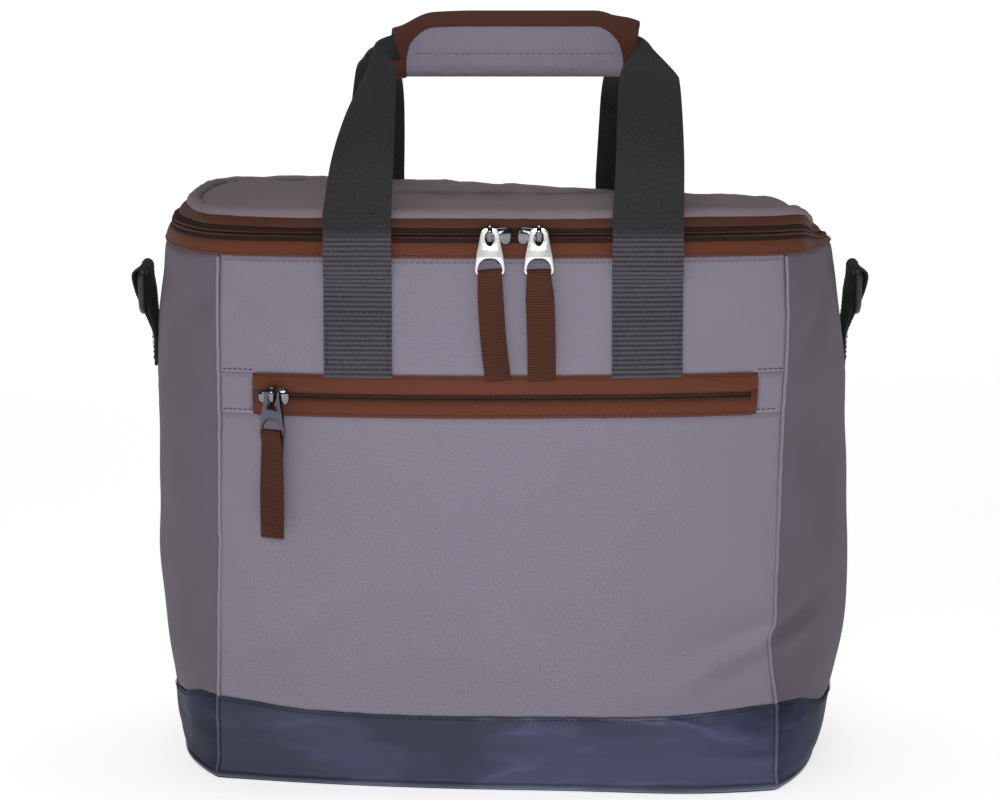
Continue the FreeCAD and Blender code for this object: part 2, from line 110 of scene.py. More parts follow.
# ---- materials ----
class Nodes:
    """A few calls that keep a material's node tree short to write."""

    def __init__(self, name):
        self.material = bpy.data.materials.new(name)
        self.material.use_nodes = True
        self.tree = self.material.node_tree
        self.shader = self.tree.nodes["Principled BSDF"]

    def add(self, kind, **settings):
        node = self.tree.nodes.new("ShaderNode" + kind)
        for key, value in settings.items():
            setattr(node, key, value)
        return node

    def feed(self, socket, value):
        """Sets a number or a colour on a socket, or links an output to it."""
        if isinstance(value, tuple):
            socket.default_value = (*value, 1.0)
        elif isinstance(value, (int, float)):
            socket.default_value = value
        elif value is not None:
            self.tree.links.new(value, socket)

    def fill(self, node, **values):
        """Feeds sockets by name, with _ for the spaces in a name."""
        for key, value in values.items():
            self.feed(node.inputs[key.replace("_", " ")], value)
        return node

    def set(self, **values):
        self.fill(self.shader, **values)

    def math(self, operation, *terms):
        node = self.add("Math", operation=operation)
        for socket, value in zip(node.inputs, terms):
            self.feed(socket, value)
        return node.outputs[0]

    def times(self, a, b, plus=None):
        return self.math("MULTIPLY", a, b) if plus is None else self.math("MULTIPLY_ADD", a, b, plus)

    def uv(self):
        node = self.fill(self.add("SeparateXYZ"), Vector=self.add("UVMap").outputs[0])
        return node.outputs[0], node.outputs[1]

    def noise(self, scale, detail=3.0, rough=0.55, stretch=None):
        place = self.add("TexCoord").outputs["Object"]
        if stretch:
            mapping = self.fill(self.add("Mapping"), Vector=place)
            mapping.inputs["Scale"].default_value = stretch
            place = mapping.outputs[0]
        node = self.fill(self.add("TexNoise"), Scale=scale, Detail=detail, Roughness=rough, Vector=place)
        return node.outputs["Fac"]

    def wave(self, value, pitch):
        return self.math("SINE", self.times(value, 2 * math.pi / pitch))

    def ramp(self, value, low, high, to_low=0.0, to_high=1.0):
        """A smooth step from to_low to to_high while value goes from low to high."""
        node = self.add("MapRange", interpolation_type="SMOOTHSTEP")
        self.fill(node, Value=value, From_Min=low, From_Max=high, To_Min=to_low, To_Max=to_high)
        return node.outputs[0]

    def mix(self, factor, low, high, kind="RGBA"):
        node = self.add("Mix", data_type=kind)
        for i, value in zip((0, 6, 7) if kind == "RGBA" else (0, 2, 3), (factor, low, high)):
            self.feed(node.inputs[i], value)
        return node.outputs[2 if kind == "RGBA" else 0]

    def bump(self, height, strength, distance, below=None):
        node = self.add("Bump")
        return self.fill(node, Strength=strength, Distance=distance, Height=height, Normal=below).outputs[0]


def rgb(r, g, b):
    """A colour as it looks on screen, turned to the linear values that nodes take."""
    return tuple((c / 255 / 12.92) if c <= 10 else ((c / 255 + 0.055) / 1.055) ** 2.4 for c in (r, g, b))


def tint(colour, by):
    return tuple(min(1.0, c * by) for c in colour)


def woven(name, colour, pitch=0.75, contrast=0.13, mottle=0.1, rough=0.85, sheen=0.05):
    """Plain weave: crossing yarns, flecked colour, large soft variation."""
    m = Nodes(name)
    u, v = m.uv()
    yarn = m.times(m.noise(900.0, 1.0), 0.5, m.times(m.wave(u, 2 * pitch), m.wave(v, 2 * pitch)))
    cloth = m.mix(m.times(yarn, 0.4, 0.4), tint(colour, 1 - contrast), tint(colour, 1 + contrast))
    r, g, b = colour
    purple, green = (r * 1.04, g * 0.95, b), (r * 0.96, g * 1.03, b)
    worn = m.mix(m.noise(9.0, 4.0), tint(purple, 1 - mottle), tint(green, 1 + mottle))
    m.set(Base_Color=m.mix(0.4, cloth, worn),
          Normal=m.bump(yarn, 0.5, 0.00012, m.bump(m.noise(16.0, 2.0), 0.16, 0.0022)),
          Roughness=m.times(m.noise(25.0, 3.0), 0.16, rough - 0.08),
          Sheen_Weight=sheen, Sheen_Roughness=0.5, Specular_IOR_Level=0.3)
    return m.material


def webbing(name, colour, plain=None, ribbed_to=900.0, rib=2.6, ribs_from=0.2, ribs_to=2.1):
    """Ribbed webbing, painted lighter on the rib tops and darker in the hollows: painted sheen and shade.
    Past ribbed_to along its length the ribs give way to a fine twill, darker partly as painted shade.
    """
    plain = plain or colour
    m = Nodes(name)
    u, v = m.uv()
    row = m.math("FLOOR", m.math("DIVIDE", v, rib))
    dots = m.times(m.math("SINE", m.times(row, math.pi, m.times(u, 2 * math.pi / 1.35))), 0.5, 0.5)
    ridge = m.math("ABSOLUTE", m.wave(v, 2 * rib))
    ribs = m.times(m.math("POWER", ridge, 0.8), m.times(dots, 0.3, 0.7))
    twill = m.math("SINE", m.times(u, 2 * math.pi / 1.3, m.times(v, 2 * math.pi / 1.5)))
    twill = m.times(twill, 0.3, 0.38)
    step = m.ramp(v, ribbed_to - 3.0, ribbed_to + 5.0)
    height = m.mix(step, ribs, twill, "FLOAT")
    fuzz = m.times(m.noise(850.0, 2.0), 0.8, m.math("SUBTRACT", height, 0.36))
    # Painted sheen and shade: rib tops and twill ridges lighter, hollows darker.
    low = m.mix(step, tint(colour, ribs_from), tint(plain, 0.4))
    high = m.mix(step, tint(colour, ribs_to), tint(plain, 2.3))
    m.set(Base_Color=m.mix(fuzz, low, high),
          Normal=m.bump(fuzz, 0.7, 0.0004, m.bump(m.noise(40.0, 3.0), 0.3, 0.0012)),
          Roughness=0.78, Sheen_Weight=0.04, Specular_IOR_Level=0.3)
    return m.material


def coated(name, colour, coat=0.06, shine=0.3, dull=0.2):
    """Coated cloth: a glossy skin with soft wrinkles and painted highlights in patches and along creases."""
    m = Nodes(name)
    u, v = m.uv()
    weave = m.times(m.wave(u, 1.6), m.wave(v, 1.6))
    broad = m.noise(13.0, 2.0, 0.45, (0.6, 0.6, 2.2))
    fine = m.noise(120.0, 3.0, 0.55, (0.4, 0.4, 1.6))
    # Painted highlights: the colour is lighter inside the patches and lightest along the crease lines.
    patches = m.ramp(m.noise(10.0, 2.5, 0.45, (0.8, 0.8, 2.2)), 0.4, 0.62)
    crease = m.math("SUBTRACT", m.noise(15.0, 3.0, 0.5, (0.6, 0.6, 1.8)), 0.5)
    line = m.ramp(m.math("ABSOLUTE", crease), 0.0, 0.05, 1.0, 0.0)
    crease_highlight = m.mix(m.times(line, patches), tint(colour, 1.5), tint(colour, 2.4))
    base = m.mix(patches, tint(colour, 0.66), crease_highlight)
    skin = m.bump(fine, 0.14, 0.0006, m.bump(broad, 0.9, 0.012))
    m.set(Base_Color=m.mix(m.times(m.noise(7.0, 3.0), 0.3), base, tint(colour, 1.25)),
          Normal=m.bump(weave, 0.06, 0.00008, m.bump(line, 0.4, 0.0005, skin)),
          Roughness=m.times(m.noise(30.0, 4.0), 0.3, dull),
          Coat_Weight=coat, Coat_Roughness=0.2, Specular_IOR_Level=shine)
    return m.material


def metal(name, colour, rough):
    m = Nodes(name)
    m.set(Base_Color=m.mix(m.noise(260.0, 3.0), tint(colour, 0.9), colour),
          Normal=m.bump(m.noise(1500.0, 2.0, 0.6, (1.0, 1.0, 0.15)), 0.12, 0.00004),
          Metallic=1.0, Roughness=rough)
    return m.material


def foil(name):
    """Crinkled silver film with a quilted print of shallow diamonds."""
    m = Nodes(name)
    u, v = m.uv()
    a, b = (m.math("ABSOLUTE", m.wave(m.math(way, u, v), 48.0)) for way in ("ADD", "SUBTRACT"))
    quilt = m.math("POWER", m.times(a, b), 0.4)
    crease = m.noise(70.0, 6.0, 0.7)
    m.set(Base_Color=m.mix(crease, rgb(186, 188, 194), rgb(240, 241, 244)),
          Normal=m.bump(crease, 0.7, 0.0016, m.bump(quilt, 0.5, 0.0012)), Metallic=0.85, Roughness=0.3)
    return m.material


def plastic(name, colour, rough=0.42):
    m = Nodes(name)
    m.set(Base_Color=m.mix(m.noise(120.0, 4.0), tint(colour, 0.75), tint(colour, 1.3)),
          Normal=m.bump(m.noise(1400.0, 3.0), 0.25, 0.00006), Roughness=rough)
    return m.material


GREY = rgb(134, 127, 143)
CORD = {"pitch": 0.5, "contrast": 0.1, "mottle": 0.05}
TAPE_WEAVE = {"pitch": 0.45, "contrast": 0.2, "mottle": 0.24}
FOLD_WEAVE = {"pitch": 0.45, "contrast": 0.16, "mottle": 0.15}
FABRIC = woven("grey_polyester", GREY)
# Darker copy of the grey polyester for the gussets: painted shade of the sides turned away from the light.
SHADED_SIDE_FABRIC = woven("grey_polyester_side_painted_shade", tint(rgb(131, 120, 134), 0.62))
LID_FABRIC = woven("grey_polyester_lid", rgb(130, 118, 125))
GRIP_FABRIC = woven("grey_polyester_grip", tint(GREY, 1.12), pitch=0.7)
# Lighter copy of the grey for the corner piping: painted highlight along the seam ridges.
HIGHLIGHTED_PIPING = woven("grey_piping_painted_highlight", tint(GREY, 1.2), **CORD)
# Dark copy of the grey for the lid's seam cord: painted shadow of the groove between border roll and top panel.
GROOVE_SHADOW = woven("lid_seam_cord_painted_shadow", tint(GREY, 0.42), **CORD)
TAPE = woven("brown_tape", rgb(98, 50, 31), rough=0.72, **TAPE_WEAVE)
TAPE_UPPER = woven("brown_tape_lid", rgb(78, 41, 28), rough=0.76, **TAPE_WEAVE)
# Near-black brown for the fold beside the coil: painted shade of the zip's channel.
SHADED_TAPE_FOLD = woven("brown_tape_fold_painted_shade", rgb(44, 25, 19), rough=0.9, sheen=0.0, **FOLD_WEAVE)
TAPE_DARK = woven("brown_binding", rgb(82, 42, 29), rough=0.7, **FOLD_WEAVE)
COIL = plastic("brown_coil", rgb(70, 41, 30), 0.38)
# Near-black brown for the bed under the coil: painted shade of the zip's channel.
SHADED_COIL_BED = woven("brown_coil_bed_painted_shade", rgb(40, 22, 18), pitch=0.4, contrast=0.2, sheen=0.0)
BAND = coated("coated_band", rgb(54, 58, 83))
# Darker, duller copy of the band for the gussets; its darker colour is painted shade of the sides.
SHADED_BAND_SIDE = coated("coated_band_side_painted_shade", rgb(48, 52, 75), coat=0.0, shine=0.1, dull=0.45)
BAND_EDGE = coated("coated_welt", rgb(74, 78, 98))
# Past the ribs the strap takes a darker plain colour: a finer weave, and partly painted shade where it leans
# back.
STRAP = webbing("webbing_strap", rgb(58, 55, 62), rgb(38, 37, 41), ribbed_to=78.0)
TAB_WEB = webbing("webbing_black", rgb(32, 31, 34), rib=2.2)
PULL_WEB = webbing("pull_tab_grosgrain", rgb(67, 33, 20), rib=1.45, ribs_from=0.6, ribs_to=1.45)
CHROME = metal("nickel", rgb(250, 249, 246), 0.2)
# Darker copies of the nickel for the slider bodies and the pocket puller's plate: painted shade for their dark
# reflections.
SHADED_SLIDER_METAL = metal("nickel_slider_painted_shade", rgb(132, 132, 136), 0.08)
SHADED_PLATE_METAL = metal("nickel_plate_painted_shade", rgb(92, 93, 104), 0.1)
RING = plastic("black_plastic", rgb(34, 34, 36))
LINER = foil("foil_liner")
THREAD = plastic("thread_grey", rgb(100, 94, 108), 0.7)
THREAD_DARK = plastic("thread_dark", rgb(44, 42, 52), 0.7)
THREAD_BROWN = plastic("thread_brown", rgb(66, 36, 27), 0.7)
HOOKS = woven("hook_and_loop", rgb(38, 37, 40), pitch=0.6, contrast=0.4)


# ---- the outer shape ----
SEAM_X, FACE_R = 154.0, 854.0
LEVELS = np.array([
    (-2.0, 175.0, 92.5), (0.0, 177.5, 94.0), (6.0, 182.0, 97.0), (16.0, 185.0, 99.6), (45.0, 188.2, 103.0),
    (110.0, 194.6, 105.5), (180.0, 196.0, 106.5), (240.0, 193.8, 105.0), (282.0, 190.2, 102.9),
    (300.0, 187.2, 101.9), (312.0, 183.8, 101.2), (320.0, 181.0, 100.6), (334.0, 179.0, 99.5)])
FRONT_N, SIDE_N = 312, 208
TURN = 2 * (FRONT_N + SIDE_N)
MID_FRONT, MID_BACK = 156.0, 676.0
SEAMS = (0.0, 312.0, 520.0, 832.0)


def smooth(x):
    x = np.clip(x, 0.0, 1.0)
    return x * x * (3 - 2 * x)


def after(x, start, length):
    """0 up to start, 1 past start + length, and a smooth step between."""
    return smooth((x - start) / length)


def bell(x, centre, width):
    return np.exp(-(((x - centre) / width) ** 2))


def unit(v):
    """Vectors scaled to length 1, along the last axis."""
    return v / np.linalg.norm(v, axis=-1)[..., None]


def travelled(p):
    """How far along a line of points each one lies."""
    return np.concatenate([[0], np.cumsum(np.linalg.norm(np.diff(p, axis=0), axis=1))])


def pairs(u, v):
    return np.stack([u, v], -1)


def level(z, column):
    """Smooth interpolation down one column of LEVELS."""
    x, y = LEVELS[:, 0], LEVELS[:, column]
    slope = np.gradient(y, x)
    i = int(np.clip(np.searchsorted(x, z) - 1, 0, len(x) - 2))
    h = x[i + 1] - x[i]
    t = (z - x[i]) / h
    return ((2 * t**3 - 3 * t**2 + 1) * y[i] + (t**3 - 2 * t**2 + t) * h * slope[i]
            + (-2 * t**3 + 3 * t**2) * y[i + 1] + (t**3 - t**2) * h * slope[i + 1])


def arc(half_chord, sagitta, count):
    """Points (along, out) of an arc from one corner to just before the next."""
    radius = (half_chord**2 + sagitta**2) / (2 * sagitta)
    reach = math.asin(half_chord / radius)
    angle = np.linspace(-reach, reach, count, endpoint=False)
    return radius * np.sin(angle), radius * np.cos(angle) - (radius - sagitta)


def four_arcs(cx, cy, front, side, width):
    """Four arcs through the corners (cx, cy), the corners eased by averaging over 2 * width + 1 points."""
    along, out = arc(cx, front - cy, FRONT_N)
    s_along, s_out = arc(cy, side - cx, SIDE_N)
    points = np.concatenate([pairs(along, -cy - out), pairs(cx + s_out, s_along), pairs(-along, cy + out),
                             pairs(-cx - s_out, -s_along)])
    kernel = np.ones(2 * width + 1) / (2 * width + 1)
    wrapped = np.concatenate([points[-width:], points, points[:width]])
    return np.stack([np.convolve(wrapped[:, k], kernel, "valid") for k in (0, 1)], 1)


LID_PLAN = four_arcs(158.0, 81.0, 99.9, 175.5, 15)


@lru_cache(maxsize=None)
def ring(z):
    """One closed ring of the outer shape. Its corners ease towards the rim, and above the zip it
    draws in to the lid's own outline."""
    half_w, half_d = level(z, 1), level(z, 2)
    drop = FACE_R - math.sqrt(FACE_R**2 - SEAM_X**2)
    points = four_arcs(SEAM_X, half_d - drop, half_d, half_w, int(2 + 20 * smooth((z - 258.0) / 46.0)))
    inward = smooth((z - 311.5) / 7.5)
    return points * (1 - inward) + LID_PLAN * inward


rng = np.random.default_rng(11)


def ripples(count, short, long):
    """Random sine waves that close round the ring: turns, height wave number, phase, size."""
    length = rng.uniform(short, long, count)
    way = rng.uniform(0, math.pi, count)
    turns = np.round(TURN / length * np.cos(way))
    rise = 2 * math.pi / length * np.sin(way)
    return turns, rise, rng.uniform(0, 6.28, count), rng.uniform(0.5, 1.0, count)


BROAD, MEDIUM, FINE = ripples(7, 90, 210), ripples(9, 34, 70), ripples(10, 11, 20)


def rippled(u, z, waves):
    total = 0.0
    for turns, rise, phase, size in zip(*waves):
        total = total + size * np.sin(2 * math.pi * turns * u / TURN + rise * z + phase)
    return total / math.sqrt(len(waves[0]))


def drape(u, z):
    """How the cloth stands off its plain shape: slack, dents, and puckers along the seams."""
    u = np.mod(u, TURN)
    near = np.min([np.abs(u - s) for s in (*SEAMS, float(TURN))], axis=0)
    side = np.where(((u > 312) & (u < 520)) | (u > 832), 1.0, 0.0)
    loose = 0.25 + 0.75 * smooth(near / 30.0)
    d = (1.0 + 0.6 * side) * rippled(u, z, BROAD) * loose + (0.36 + 0.24 * side) * rippled(u, z, MEDIUM)
    d = d - 2.6 * np.exp(-near / 15.0) * smooth((300.0 - z) / 40.0)
    seam = np.exp(-near / 9.0)
    for height in (45.0, 236.0, 213.0, 298.0):
        seam = np.maximum(seam, 0.8 * np.exp(-np.abs(z - height) / 7.0))
    d = d + 0.34 * seam * rippled(u, z, FINE)
    for cu, cz, angle, long, wide, depth in DENTS:
        du, dz = u - cu, z - cz
        a = du * math.cos(angle) + dz * math.sin(angle)
        b = dz * math.cos(angle) - du * math.sin(angle)
        d = d + depth * np.exp(-((a / long) ** 2) - (b / wide) ** 2)
    return d * smooth((330.0 - z) / 20.0) * smooth(z / 12.0)


# centre u, centre z, angle, half length, half width, depth: folds that run into the seams
DENTS = (
    (290, 74, 0.45, 27, 6.5, -3.8), (294, 90, 0.3, 22, 7, 1.8), (324, 92, 0.7, 18, 6, -3.2),
    (327, 84, 0.5, 20, 6, 1.8), (28, 274, -0.8, 30, 9, -1.8), (48, 262, -0.7, 34, 10, 1.3),
    (1020, 270, 0.6, 30, 9, -1.8), (280, 268, 0.9, 30, 10, -1.4), (345, 262, 0.8, 34, 9, -2.2),
    (60, 100, 0.5, 46, 12, -1.2), (540, 90, 2.4, 28, 8, -2), (800, 110, 0.7, 30, 9, -2),
    (500, 120, 2.2, 26, 8, -2.2), (860, 90, 0.9, 26, 8, -2.2), (676, 150, 0.2, 70, 26, -1.6))


def settle(p):
    """The bag as it has settled: its base is turned a little under it, the right front seam is drawn
    in low down, the band is cut higher at the seams, and the lid has sunk at the back."""
    x, y, z = p[..., 0], p[..., 1], p[..., 2]
    turn = math.radians(-3.2) * (1 - after(z, 0, 190))
    new_x = x * np.cos(turn) - y * np.sin(turn)
    new_y = x * np.sin(turn) + y * np.cos(turn)
    new_y -= 9.0 * bell(x, 120, 58) * after(-y, 20, 60) * (1 - after(z, 0, 60))
    new_x += after(x, 150, 36) * (4.5 * bell(z, 104, 70) + 2.6 * bell(z, 88, 28))
    new_x -= 1.8 * after(-x, 130, 40) * (1 - after(z, 0, 18)) + 2.6 * after(-x, 150, 30) * bell(z, 298, 15)
    right_seam = bell(x, 152, 24) * smooth((10 - y) / 80)
    new_x += right_seam * (4.2 * (1 - after(z, 60, 60)) - 4.2 * bell(z, 73, 19) + 3.0 * after(z, 170, 90))
    rise = np.where(z < 45, (np.maximum(z, 0) / 45) ** 2, 1 - after(z, 45, 70))
    new_z = z + (5.2 * bell(np.abs(x), 153, 36) - 7.5 * after(np.abs(x), 164, 22)) * rise
    new_z -= 12.0 * after(x, -170, 330) * after(y, -50, 140) * after(z, 262, 55)
    new_z -= (5.5 * after(x, 146, 28) + 4.0 * after(x, 158, 14)) * after(y, -90, 60) * after(z, 296, 20)
    new_x -= 5.0 * after(y, 5, 65) * after(-x, 100, 60) * after(z, 311, 8)
    new_x -= 6.0 * after(y, 5, 75) * after(x, 100, 60) * after(z, 308, 10)
    return np.stack([new_x, new_y, new_z], -1)


def surf(u, z, off=0.0, slack=1.0):
    """Points on the outer shape at (u, z), off millimetres outside it, and their normals."""
    u, z, off = np.broadcast_arrays(np.asarray(u, float), np.asarray(z, float), np.asarray(off, float))
    points, normals = np.empty(u.shape + (3,)), np.empty(u.shape + (3,))
    for height in np.unique(z):
        rows = z == height
        key = float(np.round(height, 2))
        here, above, below = ring(key), ring(key + 1.0), ring(key - 1.0)
        at = np.mod(u[rows], TURN)
        i = at.astype(int) % TURN
        t = (at - np.floor(at))[:, None]

        def pick(r, shift=0, i=i, t=t):
            return r[(i + shift) % TURN] * (1 - t) + r[(i + 1 + shift) % TURN] * t

        flat = pick(here)
        run = pick(here, 2) - pick(here, -2)
        rise = (pick(above) - pick(below)) / 2
        run3 = np.concatenate([run, np.zeros((len(run), 1))], 1)
        rise3 = np.concatenate([rise, np.ones((len(rise), 1))], 1)
        points[rows] = np.concatenate([flat, np.full((len(flat), 1), height)], 1)
        normals[rows] = unit(np.cross(run3, rise3))
    stand = off + slack * drape(u, z)
    return settle(points + normals * stand[..., None]), normals


def u_front(x):
    return MID_FRONT + 156.0 * np.arcsin(np.asarray(x) / FACE_R) / math.asin(SEAM_X / FACE_R)


def u_back(x):
    return MID_FRONT + MID_BACK - u_front(x)


# ---- making meshes ----
def mesh_object(name, vertices, faces, material, uv=None, sharp=35.0):
    """One object from points in millimetres. uv is one pair per vertex, in millimetres too."""
    name += "_made" if name in NODES else ""
    mesh = bpy.data.meshes.new(name)
    mesh.from_pydata((np.asarray(vertices) * MM).tolist(), [], [list(map(int, f)) for f in faces])
    mesh.validate()
    if uv is not None:
        layer = mesh.uv_layers.new(name="UVMap")
        index = np.empty(len(mesh.loops), int)
        mesh.loops.foreach_get("vertex_index", index)
        layer.data.foreach_set("uv", np.asarray(uv, float)[index].ravel())
    mesh.materials.append(material)
    mesh.shade_smooth()
    mesh.set_sharp_from_angle(angle=math.radians(sharp))
    obj = bpy.data.objects.new(name, mesh)
    scene.collection.objects.link(obj)
    return obj


def grid_faces(rows, cols, wrap_rows=False, wrap_cols=False, start=0, flip=False):
    i = np.arange(rows if wrap_rows else rows - 1)
    j = np.arange(cols if wrap_cols else cols - 1)
    a, b = np.meshgrid(i, j, indexing="ij")
    c, d = (a + 1) % rows, (b + 1) % cols
    quads = np.stack([a * cols + b, a * cols + d, c * cols + d, c * cols + b], -1).reshape(-1, 4) + start
    return quads[:, ::-1] if flip else quads


def sheet(name, p, n, thick, material, uv=None, wrap=False):
    """A closed sheet: p is its outer face as rows of points, n points outwards, thick is inwards."""
    rows, cols = p.shape[:2]
    inner = p - n * np.broadcast_to(np.asarray(thick, float), (rows, cols))[..., None]
    count, top = rows * cols, (rows - 1) * cols
    faces = [grid_faces(rows, cols, wrap_cols=wrap),
             grid_faces(rows, cols, wrap_cols=wrap, start=count, flip=True)]
    j = np.arange(cols if wrap else cols - 1)
    k = (j + 1) % cols
    borders = [(k, j), (top + j, top + k)]
    if not wrap:
        i = np.arange(rows - 1) * cols
        borders += [(i, i + cols), (i + 2 * cols - 1, i + cols - 1)]
    faces += [np.stack([a, b, b + count, a + count], -1) for a, b in borders]
    both = None if uv is None else np.concatenate([uv.reshape(-1, 2)] * 2)
    points = np.concatenate([p.reshape(-1, 3), inner.reshape(-1, 3)])
    return mesh_object(name, points, np.concatenate(faces), material, both)


def capped(rows, cols):
    """Faces of a tube with closed ends."""
    last = (rows - 1) * cols
    return [*grid_faces(rows, cols, wrap_cols=True).tolist(), list(range(cols))[::-1],
            list(range(last, last + cols))]


def tube(name, p, material, uv=None, closed=False):
    """A tube from rows of sections; each row is a loop of points."""
    rows, cols = p.shape[:2]
    faces = grid_faces(rows, cols, wrap_rows=True, wrap_cols=True) if closed else capped(rows, cols)
    return mesh_object(name, p.reshape(-1, 3), faces, material, None if uv is None else uv.reshape(-1, 2))


def put(obj, body, replaces=(), blend=None):
    """Gives a finished piece its body and the CAD nodes it stands for."""
    if blend:
        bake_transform(obj)
    else:
        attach(obj, body)
    if replaces:
        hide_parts(*replaces)
    return obj


def steps(low, high, step, edge=(0.6, 1.4, 2.6, 4.4)):
    """Even samples, closer together at both ends."""
    inner = np.linspace(low + edge[-1], high - edge[-1], max(2, int((high - low) / step)))
    ends = [low, *[low + e for e in edge[:-1]]], [*[high - e for e in edge[:-1]][::-1], high]
    return np.concatenate([ends[0], inner, ends[1]])


def panel(name, u_range, z_range, body, slot, material, replaces=(), off=0.0, thick=1.0, step=3.2,
          tuck=0.9, bow=0.0, blend=None):
    """A piece of cloth on the outer shape whose edges turn in to their seams."""
    us, zs = steps(*u_range, step), steps(*z_range, step)
    u, z = np.meshgrid(us, zs)
    edge = np.minimum(np.minimum(u - us[0], us[-1] - u), np.minimum(z - zs[0], zs[-1] - z))
    bowed = bow * np.sin(np.pi * (z - zs[0]) / (zs[-1] - zs[0]))
    p, n = surf(u, z, off - tuck * np.exp(-((edge / 1.5) ** 2)) + bowed)
    return put(sheet(name, p, n, thick, material, pairs(u, z)), body, replaces, blend)


def stitches(name, paths, body="bag", material=None, slot="grey_fabric", pitch=3.3, length=2.2):
    """Rows of small stitches. A path is (points, normals) in millimetres."""
    sides, radius, stand = 6, 0.24, 0.08
    around = np.linspace(0, 2 * math.pi, sides, endpoint=False)
    rings = ((-1.0, 0.35), (-0.55, 1.0), (0.55, 1.0), (1.0, 0.35))
    shape = np.array([(along * length / 2, math.cos(t) * radius * size, math.sin(t) * radius * size)
                      for along, size in rings for t in around])
    points = []
    for p, n in paths:
        run = travelled(p)
        for at in np.arange(pitch / 2, run[-1] - length / 2, pitch):
            here, ahead, up = (np.array([np.interp(place, run, line[:, k]) for k in range(3)])
                               for place, line in ((at, p), (at + 0.5, p), (at, n)))
            x = unit(ahead - here)
            y = unit(np.cross(up, x))
            points.append(here + (shape + (0, 0, stand)) @ np.array([x, y, np.cross(x, y)]))
    faces = copies(capped(4, sides), len(points), len(shape))
    return put(mesh_object(name, np.concatenate(points), faces, material or THREAD), body)


def copies(faces, count, size):
    """The faces of one small solid of size points, repeated count times."""
    return [[k * size + i for i in face] for k in range(count) for face in faces]


def tree_of(points):
    tree = KDTree(len(points))
    for i, place in enumerate(points):
        tree.insert(place, i)
    tree.balance()
    return tree


def swell(shape, held, p, cap, voxel=4.5, pressure=4.0):
    """Lets a closed padded shape fill out as cloth with air behind it, and carries the points p along.

    The cloth is a remeshed copy. held is how firmly its seams hold each of its points, cap is how
    far any point may move.
    """
    frames, neighbours = 20, 6
    remesh = shape.modifiers.new("remesh", "REMESH")
    remesh.mode, remesh.voxel_size = "VOXEL", voxel * MM
    depsgraph = bpy.context.evaluated_depsgraph_get()
    even = bpy.data.meshes.new_from_object(shape.evaluated_get(depsgraph))
    bpy.data.objects.remove(shape)
    cloth_obj = bpy.data.objects.new("swelling", even)
    scene.collection.objects.link(cloth_obj)
    before = np.array([v.co for v in even.vertices]) / MM
    group = cloth_obj.vertex_groups.new(name="held")
    for i, grip in enumerate(held(before)):
        group.add([i], float(grip), "REPLACE")
    cloth = cloth_obj.modifiers.new("cloth", "CLOTH")
    cloth.settings.vertex_group_mass = "held"
    cloth.settings.use_pressure = True
    cloth.settings.uniform_pressure_force = pressure
    cloth.settings.effector_weights.gravity = 0.0
    cloth.settings.shrink_min = -0.03
    cloth.point_cache.frame_end = frames
    for number in range(1, frames + 1):
        scene.frame_set(number)
    result = cloth_obj.evaluated_get(bpy.context.evaluated_depsgraph_get())
    moved = np.array([v.co for v in result.data.vertices]) / MM - before
    scene.frame_set(1)
    bpy.data.objects.remove(cloth_obj)
    moved *= np.minimum(1.0, cap / np.maximum(np.linalg.norm(moved, axis=1)[:, None], 1e-6))
    tree = tree_of(before)
    out = np.array(p, float)
    for place in out.reshape(-1, 3):
        near = tree.find_n(place, neighbours)
        weight = np.array([1.0 / (0.5 + d) ** 2 for _, _, d in near])
        place += (moved[[i for _, i, _ in near]] * weight[:, None]).sum(0) / weight.sum()
    return out


# ---- the body ----
BAND_TOP, POCKET_SEAM, POCKET_TOP, RIM_SEAM, LID_SEAM = 43.4, 212.0, 234.6, 298.2, 318.6
RIM_COIL, POCKET_COIL, POCKET_LEFT, POCKET_RIGHT = 310.2, 222.5, -134.0, 138.2
ZIP_END = 78.0


def build_panels():
    """The cloth walls, the patches beside the pocket's zip, and the coated band round the base."""
    low, left, right = BAND_TOP + 0.4, u_front(POCKET_LEFT), u_front(POCKET_RIGHT)
    patch, fine = (POCKET_SEAM + 0.2, POCKET_TOP - 0.2), {"step": 2.5, "off": 0.1}
    # The gussets take a darker copy of the wall cloth: painted shade of the sides turned away from the light.
    for name, span, heights, material, replaces, extra in (
            ("pocket_panel", (0.7, 311.3), (low, POCKET_SEAM), FABRIC,
             ("pocket_panel", "pocket_backing", "foam_front"), {"bow": 0.8}),
            ("front_upper_panel", (0.7, 311.3), (POCKET_TOP, RIM_SEAM), FABRIC, ("front_upper_panel",), {}),
            ("pocket_patch_left", (0.7, left), patch, FABRIC, ("pocket_end_patches",), fine),
            ("pocket_patch_right", (right, 311.3), patch, FABRIC, (), fine),
            ("back_panel", (520.7, 831.3), (low, RIM_SEAM), FABRIC, ("back_panel", "foam_back"), {}),
            ("right_gusset", (312.7, 519.3), (low, RIM_SEAM), SHADED_SIDE_FABRIC,
             ("right_gusset", "foam_sides"), {}),
            ("left_gusset", (832.7, 1039.3), (low, RIM_SEAM), SHADED_SIDE_FABRIC, ("left_gusset",), {})):
        panel(name, span, heights, "bag", "grey_fabric", material, replaces, **extra)
    # The band on the gussets takes the darker copy: painted shade of the sides turned away from the light.
    for side, start, end in zip(("front", "right", "back", "left"), SEAMS, (*SEAMS[1:], TURN)):
        panel("base_band_" + side, (start + 0.3, end - 0.3), (3.6, BAND_TOP + 1.0), "bag", "band_coating",
              BAND if side in ("front", "back") else SHADED_BAND_SIDE,
              ("base_band", "foam_base", "base_board") if side == "front" else (),
              off=0.75, thick=1.2, tuck=0.5)


